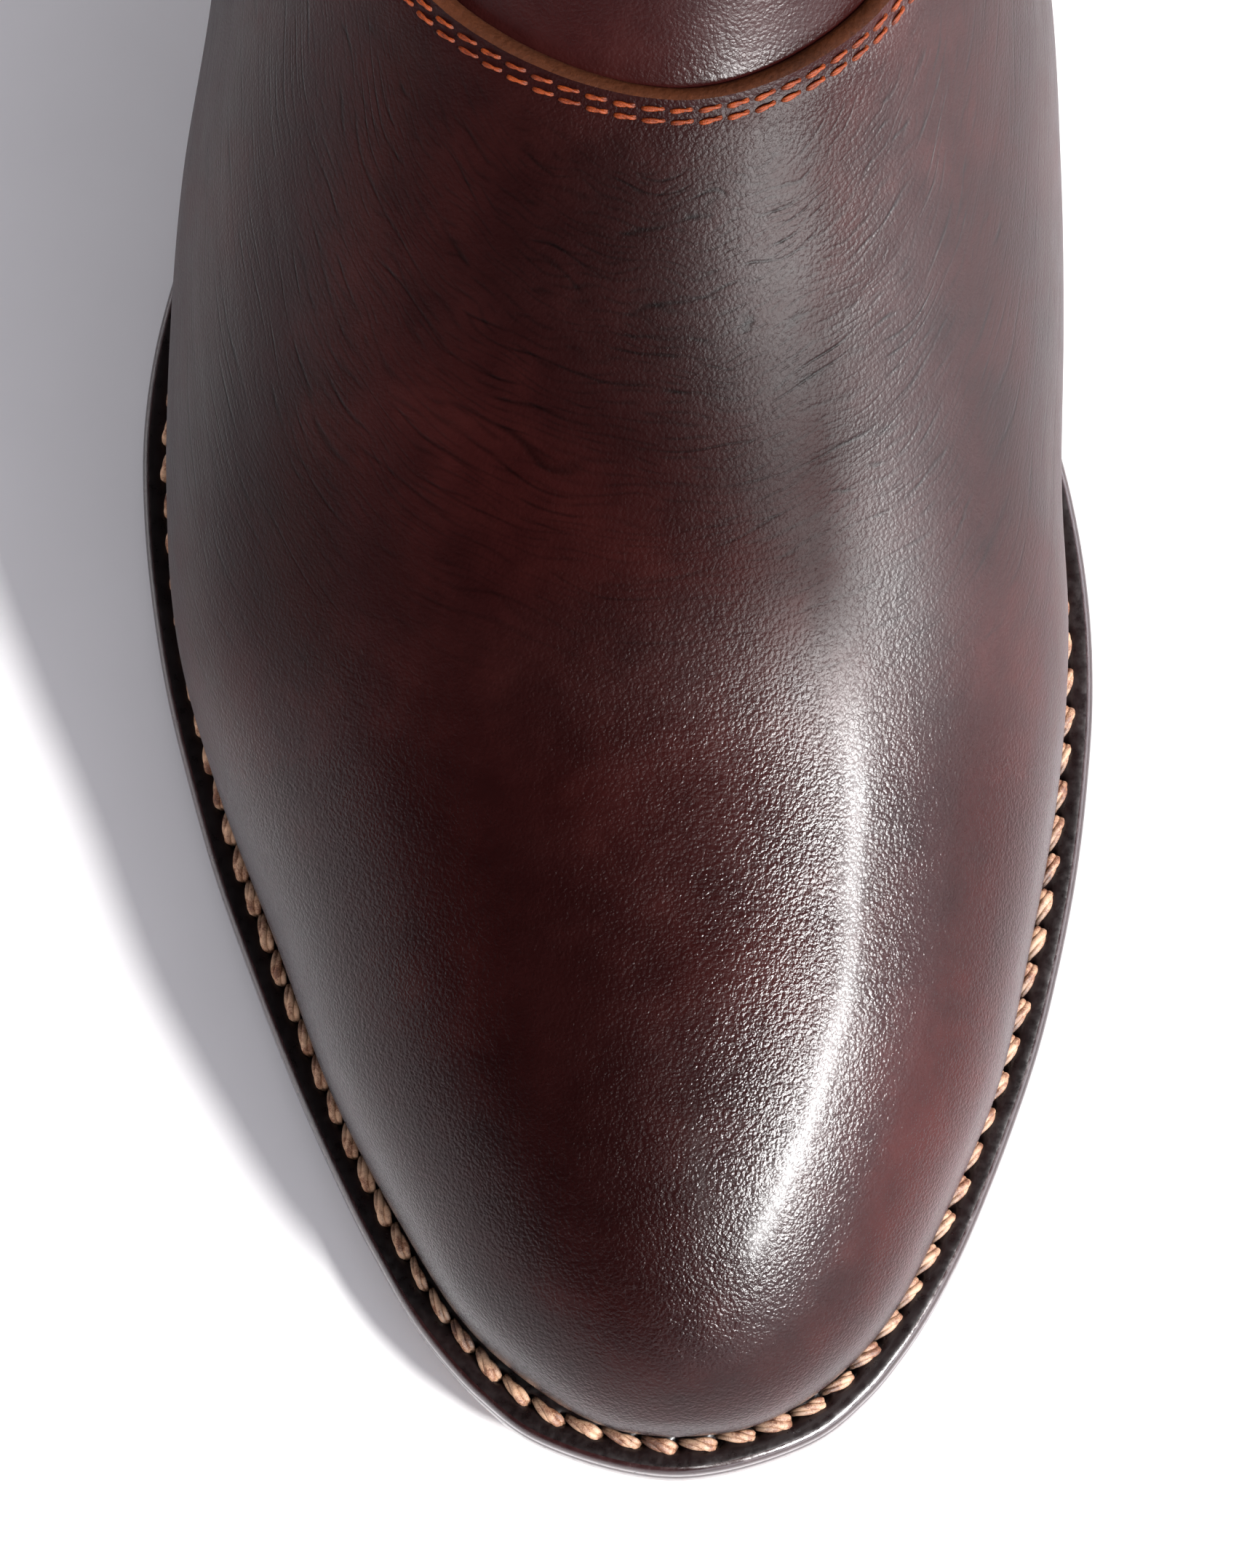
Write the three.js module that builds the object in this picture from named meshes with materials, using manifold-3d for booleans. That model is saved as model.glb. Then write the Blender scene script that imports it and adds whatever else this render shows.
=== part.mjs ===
// Pull-on leather boot, right foot, stitched (welted) construction.
// Millimetres.  X = towards the inner (medial) side, Y = from toe to heel,
// Z = up.  While the pieces are being made, S is the distance behind the toe
// tip; the finished group is moved so that the middle of the bounding box,
// at floor level, is the origin.
import * as THREE from 'three';
import { mergeVertices } from 'three/addons/utils/BufferGeometryUtils.js';
import Module from 'manifold-3d';

const wasm = await Module();
wasm.setup();

// ---------------------------------------------------------------- dimensions
const GAP = 0.3;                 // running gap between touching pieces
const OUTSOLE_T = 5.2;           // leather outsole
const WELT_T = 3.5;              // welt and heel seat rand
const WELT_W = 15;               // strip width of the welt
const RAND_W = 14;
const INSOLE_T = 2.6;
const SOCK_T = 1.5;
const HEEL_H = 32;               // height of the stacked heel
const TOP_LIFT_T = 6.5;          // rubber top lift
const HEEL_BREAST_S = 236;       // front face of the heel
const HEEL_TAPER = 0.955;        // outline of the top lift against the heel seat
const SHANK_W = 15, SHANK_T = 1.3, SHANK_S0 = 168, SHANK_S1 = 276;
const NAIL_R = 0.9, NAIL_HOLE_R = 1.25, NAIL_L = 13.5, NAIL_Z0 = 1.0;
// depths of the upper's layers below the outer skin surface
const SKIN = [0, 2.3];           // vamp and counter cover
const STRIP = [0.8, 2.3];        // seam strips and top binding, on the shaft
const MID = [2.6, 4.3];          // shaft leather, toe puff, stiffener, backer
const LINING = [4.6, 5.5];
const STRAP = [5.8, 8.2];        // strap base, inside the lining
const FOOT = 5.8;                // insole and sock, inside the lining
const THREAD_R = 0.42, WELT_THREAD_R = 0.6;
const BINDING_H = 13;            // band round the top line
const SEAM_S = 234;              // side seam of the shaft
const STRIP_HALF = 6;            // half width of the seam strip
const STRAP_W = 24, STRAP_BASE_H = 42, STRAP_LOOP_H = 34, STRAP_LOOP_W = 15, STRAP_T = 2.0;
const N_AROUND = 24;             // facets round the leg

// Outer skin of the upper: [sT, zT, sB, zB, xc, wM, wL, q, nT, nBm, nBl] for each
// station, from the toe tip to above the top line.  T is the ridge (or shin)
// point, B the underside (or heel, or calf) point, xc the middle, wM and wL
// the half widths, q where the widest point lies between B and T, nT the
// fullness of the ridge end, nBm and nBl that of the lower end on each side.
const STATIONS = [
  [4.6, 26, 4.6, 26, 5.6, 0, 0, 0.5, 2, 2, 2],
  [6, 32.5, 6, 19.5, 5.6, 8.6, 8, 0.47, 2, 2.3, 2.3],
  [10.4, 39.5, 10.4, 13.5, 5.6, 16.6, 15.8, 0.42, 2.05, 2.6, 2.6],
  [18.4, 46, 18.4, 9, 5.5, 24.4, 24.4, 0.38, 2.1, 2.9, 2.9],
  [30.4, 52, 30.4, 5, 5.2, 31.2, 31.7, 0.35, 2.15, 3.1, 3.1],
  [45.4, 57, 45.4, 3.2, 4.8, 38, 39.2, 0.33, 2.15, 3.2, 3.2],
  [62.26, 61.5, 62.26, 2.2, 4.4, 42.4, 45, 0.32, 2.1, 3.3, 3.3],
  [79.84, 67, 79.84, 2, 4.2, 45.8, 51.8, 0.31, 2.05, 3.3, 3.3],
  [97.42, 75, 97.42, 2, 4.1, 47.4, 56.6, 0.3, 2, 3.3, 3.3],
  [115, 85.5, 115, 2, 4.2, 46.6, 58.1, 0.3, 1.95, 3.2, 3.3],
  [130, 94.5, 134, 2, 4.4, 46.6, 57.8, 0.31, 1.92, 2.8, 3.3],
  [141, 101.5, 156, 3, 4.6, 46, 56.4, 0.33, 1.92, 2.5, 3.3],
  [149.5, 109, 180, 8, 4.4, 44.8, 52.8, 0.36, 1.95, 2.4, 3.4],
  [156, 116, 208, 19, 3.8, 42, 48.8, 0.4, 2, 2.35, 3.2],
  [161, 123, 240, 29, 3.2, 40, 44.6, 0.44, 2, 2.45, 2.9],
  [165, 130, 272, 31, 2.6, 39, 42, 0.47, 2.05, 2.4, 2.6],
  [168, 137, 297, 38.5, 2, 39, 41.5, 0.49, 2.05, 2.4, 2.5],
  [170.4, 145, 303.4, 60, 1.6, 39.6, 41.6, 0.5, 2.05, 2.2, 2.2],
  [172.2, 154, 304, 84, 1.2, 40.2, 41.8, 0.5, 2.05, 2, 2],
  [173.6, 165, 299.5, 108, 1, 40.6, 41.8, 0.5, 2.05, 1.95, 1.95],
  [174.6, 180, 294, 133, 1, 41, 41.6, 0.5, 2.05, 1.95, 1.95],
  [174.8, 202, 291, 164, 1, 42.5, 42.8, 0.5, 2.05, 1.95, 1.95],
  [174, 230, 290.8, 200, 1, 45.4, 45.6, 0.5, 2.05, 1.95, 1.95],
  [172.6, 262, 293, 240, 1, 49, 49.2, 0.5, 2.05, 1.95, 1.95],
  [170.8, 298, 297, 284, 1, 53, 53.2, 0.51, 2.05, 1.95, 1.95],
  [169, 336, 301, 328, 1, 56.4, 56.6, 0.51, 2.05, 1.95, 1.95],
  [167.6, 374, 304.5, 372, 1, 58.8, 59, 0.51, 2.05, 1.95, 1.95],
];
// Underside of the outsole, [s, z]: toe spring, flat tread, waist, heel seat.
const SOLE = [[-5,9.2],[0,8.0],[10,6.1],[20,4.4],[30,2.95],[40,1.75],[50,.85],[60,.25],[70,0],[150,0],[158,.25],[166,.9],[174,2.3],[182,4.7],[190,8.0],[200,12.6],[210,17.2],[220,21.4],[230,25.0],[240,28.0],[250,30.2],[260,31.5],[270,HEEL_H],[310,HEEL_H]];
// Edge of the sole, [s, x], lateral and medial.
const EDGE_L = [[1.4, 5.65], [5.5, -10.4], [10.6, -17.2], [15.8, -22], [21, -25.8], [26.2, -28.8], [31.4, -31.6], [41.9, -36.6], [52.4, -41.1], [63, -45.2], [73.5, -49], [84.1, -52.1], [94.7, -54.8], [105.4, -56.7], [116.1, -57.9], [126.9, -58.2], [137.8, -57], [150, -54], [165, -49.2], [180, -44.8], [200, -40.6], [220, -38], [240, -36.6], [258, -35.8], [272, -34], [284, -30], [292.5, -23.6], [298.8, -15.5], [302.3, -6.5], [303.2, 1]];
const EDGE_M = [[1.4, 5.65], [5.5, 21.3], [10.6, 27.8], [15.8, 32.1], [21, 35.5], [26.2, 38.3], [31.4, 40.7], [41.9, 44.9], [52.4, 48.5], [63, 51.2], [73.5, 53.3], [84.1, 54.7], [94.7, 55.5], [105.4, 55.3], [116.1, 54], [126, 51.8], [137, 48], [150, 44.6], [165, 41], [180, 38.6], [200, 37], [220, 36.4], [240, 36.4], [258, 36.6], [272, 34.8], [284, 31.2], [292.5, 25.2], [298.8, 17.2], [302.3, 8.2], [303.2, 1]];
// Side view cutting lines, [s, z].
const THROAT = [[112, 101], [126, 101.2], [138, 100.9], [149.3, 99], [160, 97.8], [170, 95.6], [180, 91.8], [189, 86], [197, 78.3], [204, 68.5], [209, 57], [212.5, 45], [214.5, 30], [215, 10], [215, -10]];
const THROAT_SHEAR = 0.04;       // the throat line is lower on the medial side
const TOPLINE = [[140,364],[168,363],[200,359.5],[235,356],[270,353],[302,351.5],[330,351]];
const COUNTER_TOP = [[190,86.5],[215,85.5],[240,88],[265,93],[290,99.5],[325,106]];

// ------------------------------------------------------------ surface of the upper
const NU = STATIONS.length - 1;
function row(u) {
  const t = Math.min(Math.max(u, 0), NU), i = Math.min(Math.floor(t), NU - 1), f = t - i;
  const p1 = STATIONS[i], p2 = STATIONS[i + 1];
  const p0 = i > 0 ? STATIONS[i - 1] : p1.map((a, k) => 2 * a - p2[k]);
  const p3 = i < NU - 1 ? STATIONS[i + 2] : p2.map((a, k) => 2 * a - p1[k]);
  return p1.map((a, k) => 0.5 * (2 * a + (p2[k] - p0[k]) * f + (2 * p0[k] - 5 * a + 4 * p2[k] - p3[k]) * f * f
    + (-p0[k] + 3 * a - 3 * p2[k] + p3[k]) * f * f * f));
}
function skin(u, th) {
  const [sT, zT, sB, zB, xc, wM, wL, q, nT, nBm, nBl] = row(u);
  const c = Math.cos(th), s = Math.sin(th), n = s > 0 ? nT : c > 0 ? nBm : nBl;
  const x = xc + (c > 0 ? wM : wL) * Math.sign(c) * Math.abs(c) ** (2 / n);
  const r = Math.abs(s) ** (2 / n), tau = s > 0 ? q + (1 - q) * r : q - q * r;
  return new THREE.Vector3(x, sB + (sT - sB) * tau, zB + (zT - zB) * tau);
}
const E = 1e-3;
function normal(u, th) {
  const v = Math.min(Math.max(u, 0.02), NU - 0.002);
  const a = skin(v + E, th).sub(skin(v - E, th)), b = skin(v, th + E).sub(skin(v, th - E));
  return a.cross(b).normalize();
}
const at = (u, th, d) => skin(u, th).addScaledVector(normal(u, th), -d);

// ------------------------------------------------------------------ solids
function toSolid(geometry) {
  let g = geometry.clone();
  g.deleteAttribute('normal'); g.deleteAttribute('uv');
  g = mergeVertices(g, 1e-4);
  const m = new wasm.Mesh({ numProp: 3, vertProperties: new Float32Array(g.attributes.position.array),
    triVerts: new Uint32Array(g.index.array) });
  return new wasm.Manifold(m);
}
function fromSolid(s) {
  const m = s.getMesh();
  const g = new THREE.BufferGeometry();
  g.setAttribute('position', new THREE.BufferAttribute(new Float32Array(m.vertProperties), 3));
  g.setIndex(Array.from(m.triVerts));
  g.computeVertexNormals();
  return g;
}
// closed body inside the skin at depth d
const US = [0.5, 1, 1.75, 2.5, 3.5, 5, 6.5, 8, 9, 10, 11, 12, 13, 14, 15, 16, 17, 18, 19, 20, 21.5, 23, 24.5, 26];
const bodies = {};
function body(d) {
  if (bodies[d]) return bodies[d];
  const pos = [], idx = [], n = N_AROUND;
  const p0 = skin(0, 0); pos.push(p0.x, p0.y + d, p0.z);
  for (const u of US) for (let j = 0; j < n; j++) {
    const p = at(u, -Math.PI / 2 + (j + 0.5) * 2 * Math.PI / n, d); pos.push(p.x, p.y, p.z);
  }
  const r = row(NU), last = 1 + US.length * n;
  pos.push(r[4], (r[0] + r[2]) / 2, (r[1] + r[3]) / 2);
  const id = (i, j) => 1 + i * n + ((j % n) + n) % n;
  for (let j = 0; j < n; j++) idx.push(0, id(0, j), id(0, j + 1));
  for (let i = 0; i < US.length - 1; i++) for (let j = 0; j < n; j++) {
    const a = id(i, j), b = id(i, j + 1), c = id(i + 1, j + 1), e = id(i + 1, j);
    idx.push(a, e, b, b, e, c);
  }
  for (let j = 0; j < n; j++) idx.push(last, id(US.length - 1, j + 1), id(US.length - 1, j));
  const g = new THREE.BufferGeometry();
  g.setAttribute('position', new THREE.BufferAttribute(new Float32Array(pos), 3)); g.setIndex(idx);
  return (bodies[d] = toSolid(g));
}
const shell = ([d0, d1]) => body(d0).subtract(body(d1));
// prism along X from a side view polygon [s, z]; shear lowers it towards +X
function sidePrism(points, x0 = -90, x1 = 90, shear = 0) {
  const g = new THREE.ExtrudeGeometry(new THREE.Shape(points.map(([a, b]) => new THREE.Vector2(a, b))),
    { depth: x1 - x0, bevelEnabled: false, steps: 1 });
  g.applyMatrix4(new THREE.Matrix4().set(0, 0, 1, x0, 1, 0, 0, 0, 0, 1, 0, 0, 0, 0, 0, 1));
  if (shear) g.applyMatrix4(new THREE.Matrix4().set(1, 0, 0, 0, 0, 1, 0, 0, -shear, 0, 1, shear * 4.4, 0, 0, 0, 1));
  return toSolid(g);
}
// prism along Z from a plan polygon [s, x]
function planPrism(points, z0, z1) {
  const g = new THREE.ExtrudeGeometry(new THREE.Shape(points.map(([s, x]) => new THREE.Vector2(x, s))),
    { depth: z1 - z0, bevelEnabled: false, steps: 1 });
  g.translate(0, 0, z0);
  return toSolid(g);
}
// slab between two offsets above the underside of the outsole
const slab = (a, b) => sidePrism([...SOLE.map(([s, z]) => [s, z + a]), ...SOLE.map(([s, z]) => [s, z + b]).reverse()]);
const above = (a) => sidePrism([...SOLE.map(([s, z]) => [s, z + a]), [310, 400], [-5, 400]]);
const shift = (pts, ds, dz) => pts.map(([s, z]) => [s + ds, z + dz]);

// sole outline, closed, and the same outline moved inwards
const outline = [...EDGE_L, ...EDGE_M.slice(1, -1).reverse()];
function inset(pts, w) {
  const n = pts.length, out = [];
  for (let i = 0; i < n; i++) {
    const a = pts[(i + n - 1) % n], b = pts[(i + 1) % n];
    const ds = b[0] - a[0], dx = b[1] - a[1], L = Math.hypot(ds, dx);
    out.push([pts[i][0] - dx / L * w * SIGN, pts[i][1] + ds / L * w * SIGN]);
  }
  return out;
}
const area = outline.reduce((s, p, i) => { const q = outline[(i + 1) % outline.length]; return s + p[0] * q[1] - q[0] * p[1]; }, 0);
const SIGN = area > 0 ? 1 : -1;

const group = new THREE.Group();
function add(name, solid, color, roughness, metalness = 0) {
  const geometry = solid.isBufferGeometry ? solid : fromSolid(solid);
  const mesh = new THREE.Mesh(geometry, new THREE.MeshStandardMaterial({ color, roughness, metalness }));
  mesh.name = name; group.add(mesh); return mesh;
}
const OXBLOOD = 0x33100f, SHAFT = 0x3a1512, LININGC = 0xb08a5e, SOLEC = 0xb98d62, EDGEC = 0x24100c, THREADC = 0xc8843f;

// ------------------------------------------------------------- sole and heel
const wide = planPrism(outline, -20, 60);
const w1 = planPrism(inset(outline, WELT_W), -20, 60);
const w2 = planPrism(inset(outline, WELT_W + GAP), -20, 60);
add('outsole', wide.intersect(slab(0, OUTSOLE_T)), SOLEC, 0.6);
const weltSlab = slab(OUTSOLE_T + GAP, OUTSOLE_T + GAP + WELT_T);
const ring = wide.subtract(w1).intersect(weltSlab);
const foreCut = sidePrism([[-10, -10], [HEEL_BREAST_S - GAP / 2, -10], [HEEL_BREAST_S - GAP / 2, 80], [-10, 80]]);
const rearCut = sidePrism([[HEEL_BREAST_S + GAP / 2, -10], [320, -10], [320, 80], [HEEL_BREAST_S + GAP / 2, 80]]);
add('welt', ring.intersect(foreCut), EDGEC, 0.45);
add('heel_rand', ring.intersect(rearCut), EDGEC, 0.45);
const WELT_TOP = OUTSOLE_T + GAP + WELT_T;      // above the sole's underside
const UPPER_Z = WELT_TOP + GAP;                 // lower edge of the upper
// shank, under the insole, along the waist
const shankBox = (g) => sidePrism([...SOLE.filter(([s]) => s > SHANK_S0 && s < SHANK_S1).map(([s, z]) => [s, z + WELT_TOP - SHANK_T - g]),
  ...SOLE.filter(([s]) => s > SHANK_S0 && s < SHANK_S1).map(([s, z]) => [s, z + WELT_TOP + (g ? 5 : 0)]).reverse()],
  1.5 - SHANK_W / 2 - g, 1.5 + SHANK_W / 2 + g);
const shank = shankBox(0);
add('steel_shank', shank, 0x9a9da1, 0.35, 1);
const slotS = sidePrism([[SHANK_S0 - 4, 4], [SHANK_S1 + 4, 20], [SHANK_S1 + 4, 60], [SHANK_S0 - 4, 60]],
  1.5 - SHANK_W / 2 - GAP, 1.5 + SHANK_W / 2 + GAP)
  .intersect(slab(WELT_TOP - SHANK_T - GAP, WELT_TOP + 8));
add('cork_filler', w2.intersect(slab(OUTSOLE_T + GAP, WELT_TOP)).subtract(slotS), 0xa5794b, 0.9);
add('insole_board', body(FOOT).intersect(slab(UPPER_Z, UPPER_Z + INSOLE_T)), 0xc49a6c, 0.7);
add('sock_liner', body(FOOT).intersect(slab(UPPER_Z + INSOLE_T + GAP, UPPER_Z + INSOLE_T + GAP + SOCK_T)), 0xb98d62, 0.6);

// heel: three leather lifts and a rubber top lift, tapering downwards
const heelPlan = outline.filter(([s]) => s > HEEL_BREAST_S + 3);
const iL = heelPlan.findIndex(([s, x]) => x > 0);
function edgeX(tab, s) { let i = 0; while (i < tab.length - 2 && tab[i + 1][0] < s) i++; const [a, b] = [tab[i], tab[i + 1]]; return a[1] + (b[1] - a[1]) * (s - a[0]) / (b[0] - a[0]); }
const breast = [[HEEL_BREAST_S, edgeX(EDGE_M, HEEL_BREAST_S)], [HEEL_BREAST_S + 3, 22], [HEEL_BREAST_S + 4.6, 8], [HEEL_BREAST_S + 4.6, -6], [HEEL_BREAST_S + 3, -22], [HEEL_BREAST_S, edgeX(EDGE_L, HEEL_BREAST_S)]];
const heelOutline = [...heelPlan, ...breast];
const scaleAt = (z) => HEEL_TAPER + (1 - HEEL_TAPER) * z / HEEL_H;
// tapered block of the heel between two heights
function heelBlock(z0, z1) {
  const shape = new THREE.Shape(heelOutline.map(([s, x]) => new THREE.Vector2(x, s)));
  const g = new THREE.ExtrudeGeometry(shape, { depth: 1, bevelEnabled: false, steps: 1 });
  const p = g.attributes.position;
  for (let i = 0; i < p.count; i++) {
    const z = z0 + (z1 - z0) * p.getZ(i), k = scaleAt(z);
    p.setXYZ(i, 1 + (p.getX(i) - 1) * k, 266 + (p.getY(i) - 266) * k, z);
  }
  return toSolid(g);
}
const underOutsole = sidePrism([...SOLE.map(([s, z]) => [s, z - GAP]), [310, -20], [-5, -20]]);
const NAILS = [[290, 1], [279, 20], [279, -18], [256, 22], [256, -20]];
function rod(s, x, r, z0, z1) {
  const g = new THREE.CylinderGeometry(r, r, z1 - z0, 12);
  g.rotateX(Math.PI / 2); g.translate(x, s, (z0 + z1) / 2); return g;
}
let holes = null;
for (const [s, x] of NAILS) { const h = toSolid(rod(s, x, NAIL_HOLE_R, -5, NAIL_Z0 + NAIL_L + GAP)); holes = holes ? holes.add(h) : h; }
const liftT = (HEEL_H - TOP_LIFT_T) / 3;
add('top_lift', heelBlock(0, TOP_LIFT_T - GAP).subtract(holes), 0x1b1513, 0.8);
add('heel_lift_3', heelBlock(TOP_LIFT_T, TOP_LIFT_T + liftT - GAP).subtract(holes), EDGEC, 0.5);
add('heel_lift_2', heelBlock(TOP_LIFT_T + liftT, TOP_LIFT_T + 2 * liftT - GAP), EDGEC, 0.5);
add('heel_lift_1', heelBlock(TOP_LIFT_T + 2 * liftT, HEEL_H).intersect(underOutsole), EDGEC, 0.5);
NAILS.forEach(([s, x], i) => add(`heel_nail_${i + 1}`, toSolid(rod(s, x, NAIL_R, NAIL_Z0, NAIL_Z0 + NAIL_L)), 0xb08d4a, 0.4, 1));

// ------------------------------------------------------------------ upper
const trim = above(UPPER_Z);
const skinShell = shell(SKIN).intersect(trim);
const throatFront = sidePrism([...THROAT, [-20, -10], [-20, 101]], -90, 90, THROAT_SHEAR);
const iEnd = THROAT.findIndex(([s]) => s >= 197);
const counterRegion = sidePrism([...THROAT.slice(iEnd).map(([s, z]) => [s + 0.5, z]).reverse(), ...COUNTER_TOP.filter(([s]) => s > 205),
  [325, -10]], -90, 90, THROAT_SHEAR);
add('vamp', skinShell.intersect(throatFront), OXBLOOD, 0.3);
add('heel_counter_cover', skinShell.intersect(counterRegion), OXBLOOD, 0.3);

const midShell = shell(MID).intersect(trim);
const PUFF_S = 62;
const THROAT_IN = [[105,88],[125,90.2],[139,90.4],[150,89],[161,87],[172,83.5],[182,78.5],[192,72.5],[203,71],[218,73.5],[SEAM_S,76.5]];
const BACK_LOW = [[SEAM_S,76.5],[265,82],[290,88.5],[325,97]];
const belowTop = sidePrism([[-20, -10], [-20, 364], ...TOPLINE, [330, -10]]);
add('toe_puff', midShell.intersect(sidePrism([[-20, -10], [PUFF_S, -10], [PUFF_S, 120], [-20, 120]])), 0x8d7a63, 0.8);
add('vamp_backer', midShell.intersect(sidePrism([[PUFF_S + 0.4, -10], [221.6, -10], [221.6, 73.6], ...shift(THROAT_IN.filter(([s]) => s < 219), 0, -0.4).reverse(), [PUFF_S + 0.4, 88]])), 0xcabfae, 0.95);
add('heel_stiffener', midShell.intersect(sidePrism([[222, -10], [325, -10], ...shift(BACK_LOW, 0, -0.5).reverse(), [222, 73.6]])), 0x9b8468, 0.8);
const shaftAll = midShell.intersect(belowTop);
add('shaft_front', shaftAll.intersect(sidePrism([...THROAT_IN.slice(0, -1), [SEAM_S - 0.2, 76.5], [SEAM_S - 0.2, 380], [90, 380], [90, 88]])), SHAFT, 0.3);
add('shaft_back', shaftAll.intersect(sidePrism([[SEAM_S + 0.2, 76.5], ...BACK_LOW.slice(1), [325, 380], [SEAM_S + 0.2, 380]])), SHAFT, 0.3);

const stripShell = shell(STRIP);
const bindingBand = sidePrism([...TOPLINE, ...shift(TOPLINE, 0, -BINDING_H).reverse()]);
add('top_binding', stripShell.intersect(bindingBand), OXBLOOD, 0.35);
const stripRegion = sidePrism([[SEAM_S - STRIP_HALF, 60], [SEAM_S + STRIP_HALF, 60], [SEAM_S + STRIP_HALF, 355.3 - BINDING_H - 0.5], [SEAM_S - STRIP_HALF, 356.8 - BINDING_H - 0.5]])
  .intersect(sidePrism([[SEAM_S - 20, 86.6], [SEAM_S, 88.1], [SEAM_S + 20, 91.4], [SEAM_S + 20, 380], [SEAM_S - 20, 380]], -90, 90, THROAT_SHEAR));
const strips = stripShell.intersect(stripRegion);
const half = (x0, x1) => sidePrism([[-20, -20], [340, -20], [340, 400], [-20, 400]], x0, x1);
add('side_strip_medial', strips.intersect(half(1, 90)), OXBLOOD, 0.35);
add('side_strip_lateral', strips.intersect(half(-90, 1)), OXBLOOD, 0.35);

const liningShell = shell(LINING).intersect(trim).intersect(belowTop);
const LSEAM = [[128, 130], [150, 70], [186, -10]];
add('vamp_lining', liningShell.intersect(sidePrism([[-20, -10], ...[...LSEAM].reverse(), [-20, 130]])), LININGC, 0.8);
add('shaft_lining', liningShell.intersect(sidePrism([...LSEAM.map(([s, z]) => [s + 0.4, z]).reverse(), [128.4, 380], [340, 380], [340, -10]])), LININGC, 0.8);

// -------------------------------------------------------------- pull straps
const strapTopZ = 355.0;
const LOOP_Z = strapTopZ + 3.5;            // fold line of the loops
const LOOP_ROOT_R = 1.2;                   // rounded foot of each loop, about the fold line
const baseTopZ = LOOP_Z - LOOP_ROOT_R - 0.4;   // the sewn base stops clear of the foot, so that the loop can fold
const strapShell = shell(STRAP);
const strapBox = sidePrism([[SEAM_S - STRAP_W / 2, strapTopZ - STRAP_BASE_H], [SEAM_S + STRAP_W / 2, strapTopZ - STRAP_BASE_H], [SEAM_S + STRAP_W / 2, baseTopZ], [SEAM_S - STRAP_W / 2, baseTopZ]]);
const bases = strapShell.intersect(strapBox);
add('strap_base_medial', bases.intersect(half(1, 90)), 0x2b1a14, 0.9);
add('strap_base_lateral', bases.intersect(half(-90, 1)), 0x2b1a14, 0.9);
// folded webbing loop: a closed band in the X-Z plane, swept along Y
function loopGeometry(x) {
  const H = STRAP_LOOP_H, W = STRAP_LOOP_W / 2, t = STRAP_T;
  const outer = [], inner = [];
  const N = 9;
  outer.push([0, -LOOP_ROOT_R], [-0.6, -1.04], [-1.04, -0.6], [-1.2, 0], [-1.5, 4], [-3.2, 9]);
  for (let i = 0; i <= N; i++) { const a = Math.PI - i * Math.PI / N; outer.push([W * Math.cos(a), H - W + W * Math.sin(a)]); }
  outer.push([3.2, 9], [1.5, 4], [1.2, 0], [1.04, -0.6], [0.6, -1.04]);
  const w = W - t;
  inner.push([0, 8.2], [-1.6, 10.4]);
  for (let i = 0; i <= N; i++) { const a = Math.PI - i * Math.PI / N; inner.push([w * Math.cos(a), H - W + w * Math.sin(a)]); }
  inner.push([1.6, 10.4]);
  const shape = new THREE.Shape(outer.map(([a, b]) => new THREE.Vector2(a, b)));
  shape.holes.push(new THREE.Path(inner.reverse().map(([a, b]) => new THREE.Vector2(a, b))));
  const g = new THREE.ExtrudeGeometry(shape, { depth: STRAP_W, bevelEnabled: false, steps: 1 });
  g.rotateX(Math.PI / 2);                   // shape y -> Z, depth -> -Y
  g.translate(x, SEAM_S + STRAP_W / 2, LOOP_Z);
  return toSolid(g);
}
const rTop = (() => { // inner surface x at the strap, both sides
  const find = (side) => { let best = null, bd = 1e9; for (let u = 22; u <= 26; u += 0.02) for (const th of [side > 0 ? 0 : Math.PI]) for (let k = -0.6; k <= 0.6; k += 0.02) {
    const p = at(u, th + k, (STRAP[0] + STRAP[1]) / 2); const e = Math.hypot(p.y - SEAM_S, p.z - LOOP_Z); if (e < bd) { bd = e; best = p.x; } } return best; };
  return [find(1), find(-1)];
})();
add('strap_loop_medial', loopGeometry(rTop[0]), 0x2b1a14, 0.9);
add('strap_loop_lateral', loopGeometry(rTop[1]), 0x2b1a14, 0.9);

// ------------------------------------------------------------------ threads
function tube(points, r, sides, steps) {
  const curve = new THREE.CatmullRomCurve3(points, false, 'centripetal');
  const sh = new THREE.Shape(Array.from({ length: sides }, (_, i) => new THREE.Vector2(r * Math.cos(i * 2 * Math.PI / sides), r * Math.sin(i * 2 * Math.PI / sides))));
  return toSolid(new THREE.ExtrudeGeometry(sh, { steps, bevelEnabled: false, extrudePath: curve }));
}
const soleZ = (s) => edgeX(SOLE, s);
const threadLine = inset(outline, 3.6).filter(([s]) => s < HEEL_BREAST_S - 4);
// order the open line from one side of the heel breast round the toe to the other
const start = threadLine.findIndex(([s, x], i) => { const n = threadLine[(i + 1) % threadLine.length]; return Math.hypot(n[0] - s, n[1] - x) > 60; });
const ordered = [...threadLine.slice(start + 1), ...threadLine.slice(0, start + 1)];
add('welt_thread', tube(ordered.map(([s, x]) => new THREE.Vector3(x, s, soleZ(s) + WELT_TOP + GAP + WELT_THREAD_R + 0.1)), WELT_THREAD_R, 5, 64), THREADC, 0.6);

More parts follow.
